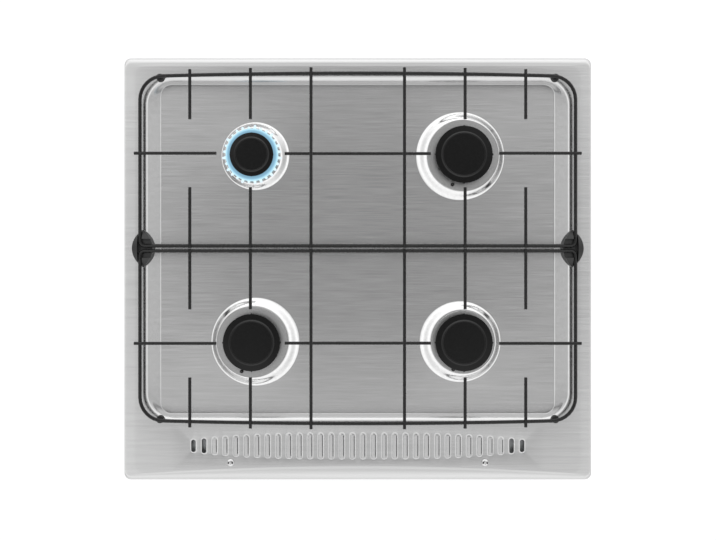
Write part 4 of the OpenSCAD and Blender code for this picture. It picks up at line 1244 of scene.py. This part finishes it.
def flame_tongue(angle, length):
    """One drop, laid outwards from the burner: a long sphere that is a little fuller at its outer end."""
    deselect()
    bpy.ops.mesh.primitive_uv_sphere_add(segments=14, ring_count=10, radius=1)
    item = bpy.context.object
    item.rotation_euler = (0, math.pi / 2, 0)
    freeze(item)
    edit(item)
    for reach, fuller in FLAME_SWELL:
        select_points(item, lambda point: point.co.x > reach)
        bpy.ops.transform.resize(value=(1, fuller, fuller), center_override=(0, 0, 0))
    leave_edit()
    item.scale = (FLAME_TONGUE[0] * length * MM, FLAME_TONGUE[1] * MM, FLAME_TONGUE[2] * MM)
    freeze(item)
    item.rotation_euler = (0, 0, angle)
    middle = FLAME_MIDDLE + FLAME_TONGUE[0] * (length - 1)
    item.location = (
        (lit_x + middle * math.cos(angle)) * MM,
        (lit_y + middle * math.sin(angle)) * MM,
        FLAME_Z * MM,
    )
    freeze(item)
    return item


tongues = []
for number in range(FLAME_COUNT):
    length = 1.0 + FLAME_SWING * math.sin(number * FLAME_RHYTHM)
    tongues.append(flame_tongue(2 * math.pi * (number + 0.5) / FLAME_COUNT, length))
deselect()
bpy.ops.mesh.primitive_torus_add(
    major_segments=112, minor_segments=12, major_radius=BAND_R * MM, minor_radius=BAND_T * MM
)
band = bpy.context.object
band.scale = (1, 1, BAND_FLATTEN)
band.location = (lit_x * MM, lit_y * MM, FLAME_Z * MM)
freeze(band)
flames = join([band, *tongues], "gas_flames")
smooth(flames, 60)
paint(flames, FLAME_GAS)
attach(flames, body_of_node("burner_crown_rl"))
flames.visible_shadow = False
print("flames:", len(flames.data.polygons), "faces in", FLAME_COUNT, "tongues and a band")

# %% [markdown]
# The other nodes of the frame already have the right shape, so they only need their finish. The table
# below is read like a parts list: which nodes are made of what. The thin wires across the burners are
# hidden from reflections, because the brushed sheet would show them as sharp dark lines.

# %% Finishes of the frame's own nodes
FINISHES = (
    (GALVANISED, ("burner_box", "vent_tray", "rail_brackets")),
    (ZINC, ("box_nuts", "cup_nuts", "bracket_screws", "block_screws")),
    (BRIGHT, ("cup_screws",)),
    (BLOCK_BLACK, ("side_block_left", "side_block_right")),
    (WIRE_ENAMEL, ("rear_frame_wire", "rear_finger_wires", "rear_centre_wires")),
    (WIRE_ENAMEL, ("front_frame_wire", "front_finger_wires", "front_centre_wires")),
    (RUBBER, ("rear_feet", "front_feet")),
    (CAST_ALUMINIUM, tuple("burner_cup_" + name for name in BURNERS)),
    (CROWN_ALUMINIUM, tuple("burner_crown_" + name for name in BURNERS)),
    (BRASS, tuple("injector_" + name for name in BURNERS)),
    (CERAMIC, tuple("igniter_" + name for name in BURNERS)),
    (PIN, ("igniter_pins",)),
    (DRAWN_ALUMINIUM, tuple("feed_pipe_" + name for name in BURNERS)),
    (GASKET, ("cup_gaskets",)),
    (BRASS, ("pipe_nuts", "rail_end_plug", "gas_inlet")),
    (TUBE, ("gas_rail",)),
    (BRASS, tuple("gas_tap_" + name for name in BURNERS)),
    (ZINC, tuple("tap_spindle_" + name for name in BURNERS)),
)
for finish, nodes in FINISHES:
    for node in nodes:
        paint(frame["nodes"][node], finish)
for node in ("rear_finger_wires", "rear_centre_wires", "front_finger_wires", "front_centre_wires"):
    frame["nodes"][node].visible_glossy = False
print(sum(len(nodes) for _, nodes in FINISHES), "nodes have their finish")

# %% [markdown]
# A white sheet under soft light still renders a little grey. The floor glows by itself as well, so it stays
# pale up to the edge of the picture, while its own dull grey keeps the shadow beside the hob.

# %% Floor finish
FLOOR_GREY = 0.2
FLOOR_GLOW = 0.86
floor_material, _, floor_shader = new_material("studio_floor", Roughness=0.9)
floor_shader.inputs["Base Color"].default_value = (FLOOR_GREY, FLOOR_GREY, FLOOR_GREY, 1)
floor_shader.inputs["Emission Color"].default_value = (1, 1, 1, 1)
floor_shader.inputs["Emission Strength"].default_value = FLOOR_GLOW
paint(floor, floor_material)
print("floor glow", FLOOR_GLOW)
